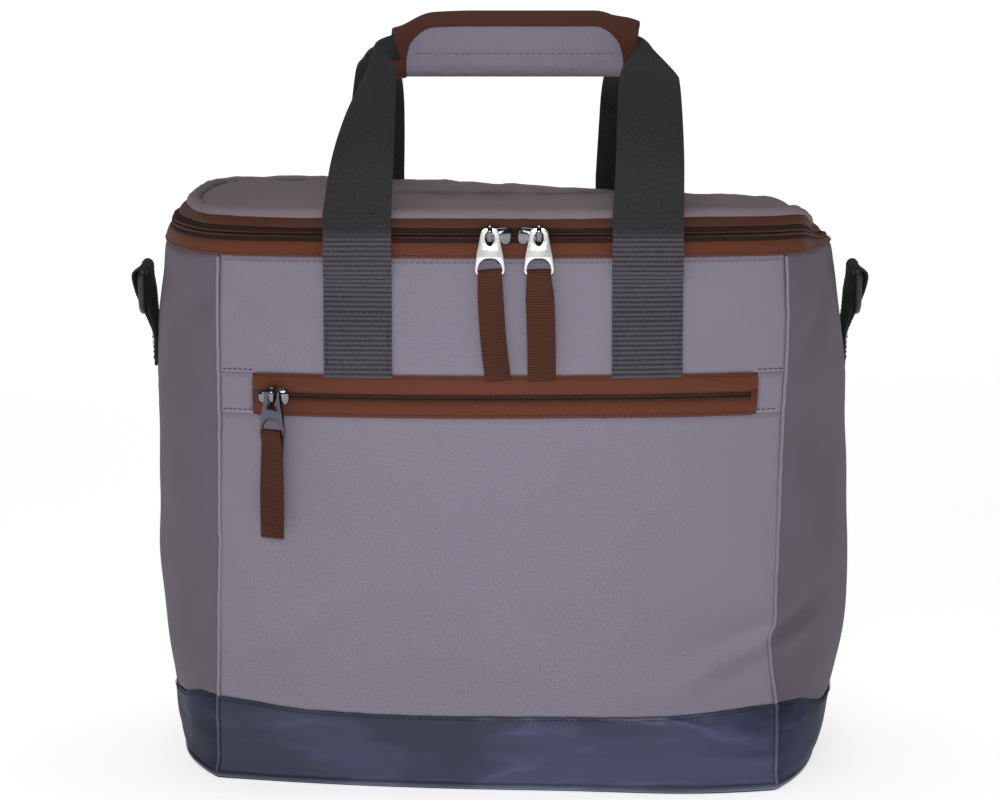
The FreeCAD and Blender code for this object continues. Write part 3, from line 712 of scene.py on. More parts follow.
def cord_along(u, z, off, radius, sides=8):
    """Sections of a round cord that follows the outer shape."""
    p, n = surf(u, z, off)
    side = np.cross(unit(np.gradient(p, axis=0)), n)
    angle = np.linspace(0, 2 * math.pi, sides, endpoint=False)[:, None]
    return p[:, None] + radius * (n[:, None] * np.cos(angle) + side[:, None] * np.sin(angle))


def cord_uv(sections):
    return np.stack(np.meshgrid(np.linspace(0, 7, sections.shape[1]), travelled(sections[:, 0])), -1)


def build_piping():
    # The corner piping is lighter than the walls: painted highlight on the seam ridges.
    for part, heights, out, material in (("", np.arange(BAND_TOP + 1.0, 297.5, 2.5), 0.25, HIGHLIGHTED_PIPING),
                                         ("_band", np.arange(4.5, BAND_TOP + 1.6, 2.5), 0.9, BAND_EDGE)):
        for i, seam in enumerate(SEAMS):
            sections = cord_along(np.full(len(heights), seam), heights, out, 0.95)
            put(tube(f"corner_piping{part}_{i}", sections, material, cord_uv(sections)), "bag",
                ("corner_piping",) if i == 0 and not part else ())
    u = np.arange(0, TURN, 4.0)
    sections = cord_along(u, np.full(len(u), 3.2), 0.3, 1.7)
    put(tube("base_piping", sections, BAND_EDGE, cord_uv(sections), closed=True), "bag",
        ("base_piping",))
    filled("base_panel", 0.9, 0.2, 0.0, 0.8, BAND, "bag", ("base_panel",), level_z=2.0,
           down=True)


# ---- zips ----
def teeth(name, u_range, z, body, phase=0.0, replaces=()):
    """One row of coil: close loops that stand across the tape."""
    pitch, wire, loop_half, loop_depth, across, around = 1.4, 0.46, 0.85, 0.5, 5, 6
    us = np.arange(u_range[0] + phase, u_range[1], pitch)
    p, n = surf(us, z, 0.35)
    run = unit(np.gradient(p, axis=0))
    p, n, run, up = (v[:, None, None] for v in (p, n, run, np.cross(n, run)))
    bend = np.linspace(-1, 1, across)[:, None, None]
    angle = np.linspace(0, 2 * math.pi, around, endpoint=False)[:, None]
    radius = wire * np.array([0.55, 0.95, 1.0, 0.95, 0.55])[:, None, None]
    points = (p + up * (bend * loop_half) + n * (radius * np.cos(angle) - loop_depth * bend**2)
              + run * (radius * np.sin(angle)))
    faces = copies(capped(across, around), len(us), across * around)
    return put(mesh_object(name, points.reshape(-1, 3), faces, COIL), body, replaces)


def strip(name, u_range, z_range, body, material, replaces=(), off=0.0, thick=0.9, step=3.0, crown=0.0,
          rows=7, round_ends=False):
    """A narrow tape on the outer shape, a little crowned across its width."""
    corner = 3.2
    us, t = np.arange(u_range[0], u_range[1] + step, step), np.linspace(0, 1, rows)
    us[-1] = u_range[1]
    if round_ends:
        close = np.array([0, 0.25, 0.7, 1.4])
        us = np.concatenate([us[0] + close, us[1:-1], us[-1] - close[::-1]])
    u, f = np.meshgrid(us, t)
    z = z_range[0] + (z_range[1] - z_range[0]) * f
    if round_ends:
        from_end = np.clip(np.minimum(u - us[0], us[-1] - u) / corner, 0, 1)
        cut = corner * (1 - np.sqrt(1 - (1 - from_end) ** 2))
        reach = np.abs(np.array(z_range) - POCKET_COIL).max() - cut
        z = POCKET_COIL + np.clip(z - POCKET_COIL, -reach, reach)
    edge = np.abs(2 * f - 1)
    p, n = surf(u, z, off + crown * (1 - edge**4) - 0.3 * (edge > 0.99))
    return put(sheet(name, p, n, thick, material, pairs(u, z)), body, replaces)


def side_u(y):
    """u on the right gusset at depth y, as the plain arc has it."""
    radius, seam_y = 121.0, 87.4
    half = math.asin(seam_y / radius)
    return 312.0 + 208.0 * (math.asin(y / radius) + half) / (2 * half)


def build_zips():
    """Each row of a zip: the tape, the fold beside the coil, the bed under it and the coil itself."""
    end = side_u(ZIP_END)
    lid, pocket = (312.0 - end, end), (u_front(POCKET_LEFT), u_front(POCKET_RIGHT))
    coils = (pocket[0] + 3, pocket[1] - 3)
    lower, upper = "lid_zip_{}_lower", "lid_zip_{}_upper"
    for name, way, body, tape, heights, stand, fold in (
            (lower, -1, "bag", TAPE, (RIM_SEAM - 0.2, RIM_COIL - 4.0), (0.4, 0.35), (4.6, 1.7)),
            (upper, 1, "lid", TAPE_UPPER, (RIM_COIL + 3.9, LID_SEAM + 0.6), (0.9, 0.6), (1.7, 4.8))):
        off, crown = stand
        strip(name.format("tape"), lid, heights, body, tape, (name.format("tape"),), off=off, crown=crown)
        # The fold beside the coil and the bed under it are near-black: painted shade of the channel the coil
        # sits in.
        for layer, edges, cloth, depth in (("shoulder", fold, SHADED_TAPE_FOLD, 0.05),
                                           ("bed", (2.2, 0.3)[::-way], SHADED_COIL_BED, -0.55)):
            strip(name.format(layer), lid, [RIM_COIL + way * h for h in edges], body, cloth, off=depth, rows=4)
        teeth(name.format("coil"), lid, RIM_COIL + way, body, 0.7 if way > 0 else 0.0, (name.format("coil"),))
    for row, way, heights, stand, fold in (
            ("lower", -1, (POCKET_SEAM - 0.3, POCKET_COIL - 2.6), (0.5, 0.35), (3.0, 1.6)),
            ("upper", 1, (POCKET_COIL + 2.6, POCKET_TOP + 0.3), (0.6, 0.45), (1.6, 3.0))):
        first = way < 0
        strip("pocket_zip_tape_" + row, pocket, heights, "bag", TAPE, ("pocket_zip_tapes",) if first else (),
              off=stand[0], crown=stand[1], round_ends=True)
        strip("pocket_zip_shoulder_" + row, pocket, [POCKET_COIL + way * h for h in fold], "bag", TAPE_DARK,
              off=0.1, rows=4)
        teeth("pocket_zip_coil_" + row, coils, POCKET_COIL + 0.95 * way, "bag", 0.0 if first else 0.7,
              ("pocket_zip_coils",) if first else ())
    # The bed under the pocket's coil is near-black: painted shade of the channel.
    strip("pocket_zip_bed", pocket, (POCKET_COIL - 2.0, POCKET_COIL + 2.0), "bag", SHADED_COIL_BED, off=-0.5, rows=5)
    for side, span in (("left", (pocket[0], pocket[0] + 3.4)), ("right", (pocket[1] - 3.4, pocket[1]))):
        strip("pocket_zip_end_" + side, span, (POCKET_COIL - 4.0, POCKET_COIL + 4.0), "bag", TAPE_DARK,
              off=0.9, step=0.85, crown=0.3)


def build_hinge_cloth():
    end = side_u(ZIP_END)
    panel("hinge_cloth", (end, TURN + 312.0 - end), (RIM_SEAM - 0.2, LID_SEAM + 0.6), "bag", "grey_fabric",
          LID_FABRIC, ("hinge_cloth_lower", "hinge_cloth_upper"), step=2.6, tuck=0.5,
          blend=("lid", (0, 101.5, 307.0), (0, 101.5, 313.4)))


# ---- lid ----
def flat_normals(u, z):
    n = surf(u, z, 0.0, 0.0)[1]
    n[..., 2] = 0
    return unit(n)


def ring_sweep(name, profile, material, body, replaces=(), step=4.0):
    """Sweeps a closed profile of (inset, z) round the lid's outline."""
    us = np.arange(0, TURN, step)
    profile = np.array(profile)
    u, k = np.meshgrid(us, np.arange(len(profile)), indexing="ij")
    plain = surf(u, 319.0, 0.0, 0.0)[0]
    fine = rippled(u, 0 * u, FINE)
    p = plain - flat_normals(u, 319.0) * (profile[k, 0] - 0.35 * fine)[..., None]
    p[..., 2] = plain[..., 2] + profile[k, 1] - 319.0 + 0.3 * fine + 0.55 * rippled(u, 0 * u, MEDIUM)
    uv = pairs(u, travelled(profile)[k])
    return put(tube(name, p, material, uv, closed=True), body, replaces)


def filled(name, inset, z_edge, dome, thick, material, body, replaces=(), rough=0.0, down=False,
           level_z=319.0, swelling=0.0):
    """A panel inside the ring at level_z: rows run from the edge in to the bag's middle line."""
    us = np.arange(0, TURN, 5.0)
    rs = np.concatenate([[1.0, 0.99, 0.97, 0.94], np.linspace(0.9, 0.0, 20)])
    r, u = np.meshgrid(rs, us, indexing="ij")
    p = surf(u, level_z, 0.0, 0.0)[0] - flat_normals(u, level_z) * inset
    middle = pairs(p[..., 0] * 0.52, 0 * r)
    p[..., :2] = middle + (p[..., :2] - middle) * r[..., None]
    x, y = p[..., 0], p[..., 1]
    uneven = (0.9 * rippled(x * 1.5, y * 1.2, MEDIUM) * (1 - r**5)
              + 1.3 * rippled(x * 0.8, y * 1.6, BROAD) * (1 - r**3)
              + 0.35 * rippled(x, y, FINE) * (1 - r**9) * r**2)
    lift = dome * (1 - r**3.2) + rough * uneven
    flat = np.stack([x, y, np.full(x.shape, float(level_z))], -1)
    p[..., 2] = z_edge + lift + (settle(flat)[..., 2] - level_z if level_z > 100 else 0.0)
    up = np.zeros_like(p)
    up[..., 2] = -1.0 if down else 1.0
    if swelling:
        pad_depth = 13.0
        tree = tree_of(p.reshape(-1, 3))

        def held(points):
            """1 along the edge and underneath, 0 on the face."""
            found = [tree.find(q) for q in points]
            return [1.0 if r.flat[i] > 0.95 or away > pad_depth / 2 else 0.0 for _, i, away in found]

        shape = sheet(name + "_pad", p - up * 0.2, up, pad_depth, material, wrap=True)
        p = swell(shape, held, p, swelling, 5.0)
    return put(sheet(name, p, up, thick, material, pairs(x, y), wrap=True), body, replaces)


def build_lid():
    roll = [(1.2, 318.0), (-0.2, 318.4), (-0.8, 319.4), (-0.6, 320.9), (0.4, 322.4), (2.0, 323.5),
            (3.7, 323.8), (5.4, 323.3), (6.4, 322.2), (6.8, 320.9), (5.8, 320.2), (5.0, 321.2), (3.8, 321.8),
            (2.6, 321.5), (1.8, 320.6), (1.4, 319.4)]
    ring_sweep("lid_border", roll, LID_FABRIC, "lid", ("lid_border",))
    # The seam cord is dark: painted shadow of the groove between the border roll and the top panel.
    cord = [(7.4 + 0.8 * math.cos(t), 321.0 + 0.8 * math.sin(t)) for t in np.linspace(0, 2 * math.pi, 9)[:-1]]
    ring_sweep("lid_piping", cord, GROOVE_SHADOW, "lid", ("lid_piping",))
    top = filled("lid_top_panel", 8.0, 321.0, 1.6, 1.4, LID_FABRIC, "lid",
                 ("lid_top_panel", "lid_foam"), rough=0.85, swelling=2.2)
    filled("lid_liner", 3.0, 313.2, -1.6, 0.7, LINER, "lid", ("lid_liner",), rough=0.3)


# ---- liner ----
def build_liner():
    """The foil tub: over the rim, down the wall and across the floor, in one piece."""
    us = np.arange(0, TURN, 6.0)
    profile = [(1.9, 303.0), (1.6, 306.6), (3.2, 308.2), (6.6, 308.6), (9.6, 308.1), (10.8, 306.0)]
    profile += [(10.9, z) for z in np.linspace(298, 24, 46)] + [(11.6, 17.0), (14.5, 13.2), (21.0, 12.0)]
    rows = []
    for inset, z in profile:
        p, n = surf(us, np.full(len(us), z), 0.0, 0.5)
        crumple = 0.5 * rippled(us, z, MEDIUM) + 0.35 * rippled(us * 1.3, z, FINE) if inset > 10 else 0.0
        p = p - n * (inset + np.broadcast_to(crumple, us.shape))[:, None]
        p[:, 2] = z if inset > 11.5 else p[:, 2]
        rows.append(p)
    rim = rows[-1]
    middle = rim[:, 0] * 0.6
    for r in np.linspace(0.9, 0.0, 14):
        x, y = middle + (rim[:, 0] - middle) * r, rim[:, 1] * r
        rows.append(np.stack([x, y, 12.3 + 0.25 * rippled(x * 1.4, y, MEDIUM)], -1))
    p = np.array(rows)
    down = np.gradient(p, axis=0)
    n = np.cross(np.roll(p, -1, 1) - np.roll(p, 1, 1), down)
    size = np.linalg.norm(n, axis=-1)[..., None]
    n = np.where(size < 1e-6, (0, 0, 1), n / np.where(size < 1e-6, 1.0, size))
    uv = np.stack(np.meshgrid(us, np.cumsum(np.linalg.norm(down, axis=-1).mean(1))), -1)
    put(sheet("liner_tub", p, -n, -0.6, LINER, uv, wrap=True), "bag", ("liner_tub",))
    bind = np.array([(8.3, 306.4), (8.2, 308.6), (9.2, 309.4), (10.6, 309.3), (11.6, 308.4), (11.7, 305.2),
                     (11.2, 305.2), (11.0, 307.4)])
    u, k = np.meshgrid(np.arange(0, TURN, 5.0), np.arange(len(bind)), indexing="ij")
    base, n = surf(u, 306.0, 0.0, 0.4)
    p = base - n * bind[k, 0][..., None]
    p[..., 2] = base[..., 2] + bind[k, 1] - 306.0
    put(tube("rim_binding", p, TAPE_DARK, pairs(u, bind[k, 1]), closed=True), "bag",
        ("rim_binding",))


# ---- ribbons ----
def spline(points, count):
    """Catmull-Rom through rows of points, evenly spaced in arc length."""
    p = np.asarray(points, float)
    ends = np.concatenate([[2 * p[0] - p[1]], p, [2 * p[-1] - p[-2]]])
    t = np.linspace(0, 1, 24, endpoint=False).reshape((-1,) + (1,) * (p.ndim - 1))
    out = []
    for a, b, c, d in zip(ends, ends[1:], ends[2:], ends[3:]):
        bend, turn = 2 * a - 5 * b + 4 * c - d, 3 * b - a - 3 * c + d
        out.append(0.5 * (2 * b + (c - a) * t + bend * t**2 + turn * t**3))
    out = np.concatenate([*out, p[-1:]])
    run = travelled(out.reshape(len(out), -1, 3).mean(1))
    at = np.linspace(0, run[-1], count)
    even = np.stack([np.interp(at, run, line) for line in out.reshape(len(out), -1).T], -1)
    return even.reshape((count,) + p.shape[1:]), at


def ribbon(name, stations, count, thick, material, rib=0.0, rib_pitch=2.6, outward=(0, -1, 0), across=13,
           start=0.0, wide=38.0, follow=None):
    """A strap from stations of (one edge, middle, other edge). thick is one number or two, start to end."""
    p3, run = spline(stations, count)
    f = np.linspace(0, 1, across)
    a, m, b = p3[:, None, 0], p3[:, None, 1], p3[:, None, 2]
    t = f[None, :, None]
    p = a * (2 * (t - 0.5) * (t - 1)) + m * (4 * t * (1 - t)) + b * (2 * t * (t - 0.5))
    if follow:
        p = follow(p)
    n = unit(np.cross(np.gradient(p, axis=1), np.gradient(p, axis=0)))
    n = -n if (n[0].mean(0) * np.array(outward)).sum() < 0 else n
    v = start + run
    thinner = 0.35 * (np.abs(2 * f - 1) > 0.97)[None]
    p = p + n * ((rib * np.abs(np.sin(np.pi * v / rib_pitch)))[:, None] - thinner)[..., None]
    ends = thick if isinstance(thick, tuple) else (thick, thick)
    depth = np.linspace(*ends, count)[:, None] * (1 - thinner)
    return sheet(name, p, n, depth, material, np.stack(np.meshgrid(f * wide, v), -1))


def build_straps():
    """Both handles. A station goes from the edge nearer the middle of the bag to the edge further out."""
    left_end = ((-51, -8.5, 397.5), (-51, -8, 406), (-51, -8, 414.5))
    right_end = tuple((63, y, z) for _, y, z in left_end)
    front_left = [((-58, -103.8, 322), (-76, -104.3, 322), (-94.5, -103.6, 322)),
                  ((-56.5, -101.8, 350), (-74, -102.8, 350), (-90, -100.6, 350)),
                  ((-56, -92, 371), (-70.5, -93.5, 371.5), (-83.5, -89, 372)),
                  ((-56, -72, 387), (-66.5, -73, 388.5), (-75.5, -67, 390)),
                  ((-57.5, -46, 396.5), (-64.5, -46, 399.5), (-70, -41, 402.5)),
                  ((-60.5, -24, 398.5), (-64.5, -24, 404.5), (-67.5, -20, 409.5)), left_end]
    front_right = [((60, -103.8, 322), (79, -104.4, 322), (98, -103.8, 322)),
                   ((61.5, -101.8, 350), (80, -103, 350), (98, -101.8, 350)),
                   ((62.5, -89.5, 373), (80.3, -92, 373), (97.6, -89.5, 373)),
                   ((64, -66, 389), (81, -69, 390.5), (97.4, -66, 389)),
                   ((67, -42, 396), (82, -44, 398.5), (96.6, -44, 393)),
                   ((70.5, -24, 398), (79, -24, 404.5), (86, -24, 404)),
                   ((69, -12, 396.5), (74, -11.5, 405.5), (79.5, -13.5, 410.0))]
    back_right = [[(x - 2.5, y, z - 3 * after(z, 380, 15.0)) for x, y, z in row] for row in front_right]
    back_left = [((-57.5, -103.8, 322), (-76, -104.3, 322), (-94, -103.6, 322)),
                 ((-57, -101.8, 350), (-74.5, -102.8, 350), (-90.5, -101, 350)),
                 ((-57, -90, 372), (-72.5, -92, 372.5), (-87.5, -89.5, 373)),
                 ((-58, -66, 387), (-71.5, -68, 389.5), (-84, -66, 389.5)),
                 ((-60, -43, 395), (-71, -45, 397.5), (-79.5, -44, 396)),
                 ((-62, -25, 397), (-68.5, -25, 402.5), (-73, -24, 403)), left_end]
    plans = {"front": ((front_left, (1.7, 3.2)), (front_right + [right_end], 1.8)),
             "back": ((back_left, 1.8), (back_right + [right_end], 1.8))}
    for side, sign, locate in (("front", -1, u_front), ("back", 1, u_back)):
        for hand, (upper, thick) in zip(("left", "right"), plans[side]):
            first, straps, handle = hand == "left", f"{side}_straps", f"{side}_handle"
            upper = np.array(upper, float)
            upper[..., 1] *= -sign
            edges = upper[0, (0, 2), 0]
            xs = np.array([edges[0], edges.mean(), edges[1]])
            lower = [surf(locate(xs), float(z), 2.0, 0.0)[0] for z in (233, 246, 258, 270, 282)]
            rim = [np.stack([xs, np.full(3, sign * y), np.full(3, z)], 1)
                   for z, y in ((291.0, 105.2), (300.0, 105.3), (311.0, 104.6))]

            def follow(p, sign=sign, locate=locate):
                q = p.copy()
                q[..., 1] += sign * drape(locate(p[..., 0]), p[..., 2]) * smooth((298.0 - p[..., 2]) / 14.0)
                return q

            low = ribbon(f"{side}_strap_{hand}_sewn", np.array(lower + rim + [upper[0]]), 150, 1.8, STRAP,
                         rib=0.3, outward=(0, sign, 0), follow=follow)
            put(low, "bag", (f"{side}_strap_stitched",) if first else (),
                (straps, (0, sign * 104.8, 288.0), (0, sign * 104.8, 298.0)))
            high = ribbon(f"{side}_strap_{hand}_loose", upper, 110, thick, STRAP, outward=(0, sign, 0),
                          start=90.0)
            put(high, straps, (f"{side}_strap_legs", f"{side}_strap_ends") if first else (),
                (handle, (0, sign * 102.0, 343.0), (0, sign * 99.0, 359.0)))
            inset = 2.0 * np.sign(xs[1] - xs[0])
            rows = [surf(locate(np.linspace(xs[0], xs[2], 12)), z, 2.35) for z in (264.5, 268.5)]
            rows += [surf(np.full(14, locate(x)), np.linspace(237, 264, 14), 2.35)
                     for x in (xs[0] + inset, xs[2] - inset)]
            stitches(f"{side}_strap_{hand}_stitches", rows, "bag", THREAD_DARK, "webbing")


# ---- grip ----
GRIP_X, GRIP_Z, GRIP_H, GRIP_D, GRIP_L = 8.2, 406.0, 18.0, 14.8, 68.7
GRIP_SEAM, GRIP_BACK = -4.3, -0.2


def grip_point(x, s, grow=0.0):
    """The front half of the grip: s is 0 at the bottom edge, 0.5 at the front and 1 at the top edge."""
    theta = (np.asarray(s) - 0.5) * math.pi
    c, w = np.cos(theta), np.sin(theta)
    over, low = after(np.abs(x), 44.0, 24.0), after(-np.asarray(x), 24.0, 46.0)
    z = (GRIP_H + grow) * np.sign(w) * np.abs(w) ** 0.85
    z = np.where(z > 0, z * (1 - 0.42 * over**1.3 - 0.1 * low), z)
    y = (-0.5 - (GRIP_D + grow) * np.abs(c) ** 0.75) * (1 - 0.1 * over)
    plump = 0.35 * np.sin(x * 0.09 + 1.0) * np.cos(theta) - 0.6 * bell(z, GRIP_SEAM, 2.2)
    return np.stack(np.broadcast_arrays(x, y - plump * (1 - over) * 0.8, GRIP_Z + z), -1)


def grip_pad():
    """The front half's pad. Its cloth fills out between its binding, its stitched line and its flat back."""
    close = np.array([0, 0.4, 1.2, 2.6])
    xs = np.concatenate([-GRIP_L + close, np.linspace(-62, 62, 62), GRIP_L - close[::-1]])
    end = np.clip((GRIP_L - np.abs(xs)) / 2.4, 0, 1)
    squeeze = (0.82 + 0.18 * np.sqrt(1 - (1 - end) ** 2))[:, None]
    s = np.linspace(0.0, 1.0, 33)
    outer = grip_point(*np.meshgrid(xs, s, indexing="ij"))
    back = outer[:, ::-4][:, 1:-1].copy()
    back[..., 1] = GRIP_BACK
    p = np.concatenate([outer, back], 1)
    p[..., 1] = GRIP_BACK + (p[..., 1] - GRIP_BACK) * squeeze
    p[..., 2] = GRIP_Z + (p[..., 2] - GRIP_Z) * squeeze

    def held(q):
        x, y, z = q[:, 0], q[:, 1], q[:, 2] - GRIP_Z
        return (np.abs(x) > 54) | (z > 4.0) | (z < -14.5) | (y > -1.6) | (np.abs(z - GRIP_SEAM) < 1.6)

    p = swell(tube("grip_shape", p, GRIP_FABRIC), held, p, 1.9, 3.2)
    p[..., 1] = np.minimum(p[..., 1], GRIP_BACK)
    around = np.concatenate([s * 58.0, 58.0 + np.arange(1, back.shape[1] + 1) * 4.0])
    return p, np.stack(np.meshgrid(xs, around, indexing="ij"), -1)


def grip_binding(outer_path, inner_path):
    """The front half's binding: points, outward directions and uv."""
    t = np.linspace(0, 1, 9)
    crown = 0.25 + 0.75 * np.sqrt(np.clip(1 - (2 * t - 1) ** 4, 0, 1))
    q = outer_path[:, None] * (1 - t)[None, :, None] + inner_path[:, None] * t[None, :, None]
    p = grip_point(q[..., 0], q[..., 1])
    n = np.cross(np.gradient(p, axis=0), np.gradient(p, axis=1))
    n /= np.linalg.norm(n, axis=-1)[..., None] + 1e-9
    away = p - np.array([0, 0.5, GRIP_Z])
    away[..., 0] = 0
    n = np.where((n * away).sum(-1)[..., None] < 0, -n, n)
    p = p + n * crown[None, :, None]
    lip = p[:, :1] - n[:, :1] * 3.2
    lip[..., 1] = np.minimum(lip[..., 1] + 1.2, -0.6)
    over_end = np.abs(q[:, :1, 0]) > GRIP_L - 0.2
    lip[..., 0] = np.where(over_end, np.sign(lip[..., 0]) * (GRIP_L + 0.4), lip[..., 0])
    p, n = np.concatenate([lip, p], 1), np.concatenate([n[:, :1], n], 1)
    return p, n, np.stack(np.meshgrid(np.linspace(0, 10, p.shape[1]), travelled(p[:, 2])), -1)


def build_grips():
    """Both halves of the grip. The back one is the front one mirrored."""
    pad, pad_uv = grip_pad()
    outer_path, inner_path = grip_outline()
    bind, bind_out, bind_uv = grip_binding(outer_path, inner_path)
    line = grip_point(np.linspace(-56, 56, 60), 0.44, 0.15)
    edge = grip_point(*inner_path[4:-4].T, 0.45)
    edge_out = unit((edge - np.array([0, 0, GRIP_Z])) * (0, 1, 1))
    x, z = np.meshgrid(np.linspace(-46, 46, 47), np.linspace(399, 413, 8))
    pile = np.stack([x, -0.3 - 0.12 * np.sin(x * 3.1) * np.sin(z * 2.7), z], -1)
    for side, sign in (("front", -1), ("back", 1)):
        handle, mirror = f"{side}_handle", np.array([1.0, -sign, 1.0])

        def turned(p, mirror=mirror):
            return p * mirror + np.array([GRIP_X, 0.0, 0.0])

        obj = tube(f"{side}_grip_pad", turned(pad), GRIP_FABRIC, pad_uv)
        put(obj, handle, (f"{side}_grip_cover", f"{side}_grip_foam", f"{side}_grip_webbing"))
        p = bind
        if side == "front":
            p = p + np.array([2.4, 0, 3.0]) * (after(p[..., 0], 52, 14) * after(p[..., 2], 413, 6))[..., None]
        put(sheet(f"{side}_grip_binding", turned(p), bind_out * mirror, 0.9, TAPE_DARK, bind_uv), handle,
            (f"{side}_grip_binding",))
        out = np.tile([0.0, float(sign), 0.0], (len(line), 1))
        stitches(f"{side}_grip_stitches", [(turned(line), out)], handle, pitch=3.6)
        stitches(f"{side}_grip_edge_stitches", [(turned(edge), edge_out * mirror)], handle, THREAD_BROWN,
                 "brown_tape", pitch=2.8, length=1.9)
        inwards = np.broadcast_to([0.0, -float(sign), 0.0], pile.shape)
        put(sheet(f"{side}_grip_fastener", turned(pile), inwards, -0.35, HOOKS, pairs(x, z)), handle,
            (f"{side}_grip_fastener",))


def grip_outline():
    """The pad's own edge and its binding's inner edge, as (x, s) pairs: up one end, over the top, down."""
    turn_s, straight, top_w, end_w = 0.34, 44, 0.32, 8.0
    high, inner = 1.0 - top_w, -GRIP_L + end_w
    up, corner = np.linspace(0.0, turn_s, 26), np.linspace(0, 1, 17)
    top = np.linspace(-straight, straight, 40)[1:-1]
    angle = corner * math.pi / 2
    out_corner = pairs(np.interp(corner, [0, 0.5, 1], [-GRIP_L, -GRIP_L, -straight]),
                       np.interp(corner, [0, 0.5, 1], [turn_s, 1.0, 1.0]))
    in_corner = pairs(inner - (straight + inner) * (1 - np.cos(angle)),
                      turn_s + (high - turn_s) * np.sin(angle))

    def whole(x, turn, s):
        half = np.concatenate([pairs(np.full(26, x), up), turn[1:]])
        return np.concatenate([half, pairs(top, np.full(38, s)), (half * [-1, 1])[::-1]])

    return whole(-GRIP_L, out_corner, 1.0), whole(inner, in_corner, high)


# ---- sliders, pullers and pull tabs ----
RIM_DEPTH, POCKET_DEPTH = 101.3, 105.7
PIVOT_OUT, PIVOT_UP, PULLER_L, BAR, PULL_LEAN, TAB_L = 4.8, 3.2, 23.6, 1.6, 3.0, 57.0


def about(point, degrees, axis):
    """A turn about a point."""
    centre = Matrix.Translation(Vector(point))
    return centre @ Matrix.Rotation(math.radians(degrees), 4, axis) @ centre.inverted()


def local_frame(depth, x, pivot=None):
    """From a piece drawn at the middle of the front to its place round the face's curve."""
    turn = about((0, FACE_R - depth, 0), math.degrees(math.asin(x / FACE_R)), "Z")
    return turn if pivot is None else turn @ about((0, -depth - PIVOT_OUT, pivot), -PULL_LEAN, "X")


def placed(p, matrix):
    m = np.array(matrix)
    return p @ m[:3, :3].T + m[:3, 3]


def rounded(points, radius, count=6):
    """A closed outline whose corners are rounded off."""
    pts = [np.array(q, float) for q in points]
    out = []
    for i, corner in enumerate(pts):
        back, ahead = pts[i - 1] - corner, pts[(i + 1) % len(pts)] - corner
        r = min(radius, 0.45 * np.linalg.norm(back), 0.45 * np.linalg.norm(ahead))
        a, b = corner + unit(back) * r, corner + unit(ahead) * r
        for t in np.linspace(0, 1, count):
            out.append((1 - t) ** 2 * a + 2 * t * (1 - t) * corner + t**2 * b)
    return out


def cut_plate(name, outline, holes, thick, bevel, y, matrix, material):
    """A flat plate with holes and softened edges, drawn in x and z and standing at depth y."""
    curve = bpy.data.curves.new(name, "CURVE")
    curve.dimensions, curve.fill_mode, curve.bevel_resolution = "2D", "BOTH", 2
    curve.extrude, curve.bevel_depth = (thick / 2 - bevel) * MM, bevel * MM
    for loop in [outline, *holes]:
        spl = curve.splines.new("POLY")
        spl.points.add(len(loop) - 1)
        for point, (x, z) in zip(spl.points, loop):
            point.co = (x * MM, z * MM, 0, 1)
        spl.use_cyclic_u = True
    holder = bpy.data.objects.new(name + "_curve", curve)
    mesh = bpy.data.meshes.new_from_object(holder)
    bpy.data.objects.remove(holder)
    p = np.array([v.co for v in mesh.vertices]) / MM
    mesh_points = np.stack([p[:, 0], y - p[:, 2], p[:, 1]], 1)
    faces = [list(f.vertices) for f in mesh.polygons]
    obj = mesh_object(name, placed(mesh_points, matrix), faces, material, sharp=40.0)
    obj.modifiers.new("weld", "WELD").merge_threshold = 0.00002
    return obj


def domed(name, outline, y, thick, dome, matrix, material):
    """A small cast plate: flat behind, crowned in front, from an outline in x and z."""
    edge = np.array(outline)
    middle = edge.mean(0)
    rows = []
    for r, out in ((1.0, 0.0), (1.0, 0.55), (0.97, 0.8), (0.9, 1.0), (0.75, 1.25), (0.5, 1.5), (0.25, 1.62),
                   (0.04, 1.66)):
        flat = middle + (edge - middle) * r
        rise = thick * min(out, 1.0) + dome * max(out - 1.0, 0.0) / 0.66
        rows.append(np.stack([flat[:, 0], np.full(len(flat), y - rise), flat[:, 1]], 1))
    return tube(name, placed(np.array(rows), matrix), material)


def bent_rod(name, path, radius, matrix, material):
    """A rod with an oval section along a path in y and z; radius is its half width and half height."""
    run = unit(np.gradient(path, axis=0))
    side = pairs(-run[:, 1], run[:, 0])
    a = np.linspace(0, 2 * math.pi, 14, endpoint=False)
    wide, high = radius
    x = np.repeat(wide * np.cos(a)[None], len(path), 0)
    yz = path[:, None] + side[:, None] * (high * np.sin(a))[None, :, None]
    return tube(name, placed(np.stack([x, yz[..., 0], yz[..., 1]], -1), matrix), material)


def mirrored(half, centre):
    """An outline in x and z from its right half, top to bottom, that starts at the left half's top."""
    left = [(centre - x, z) for x, z in half]
    return [left[0], *[(centre + x, z) for x, z in half], *left[:0:-1]]


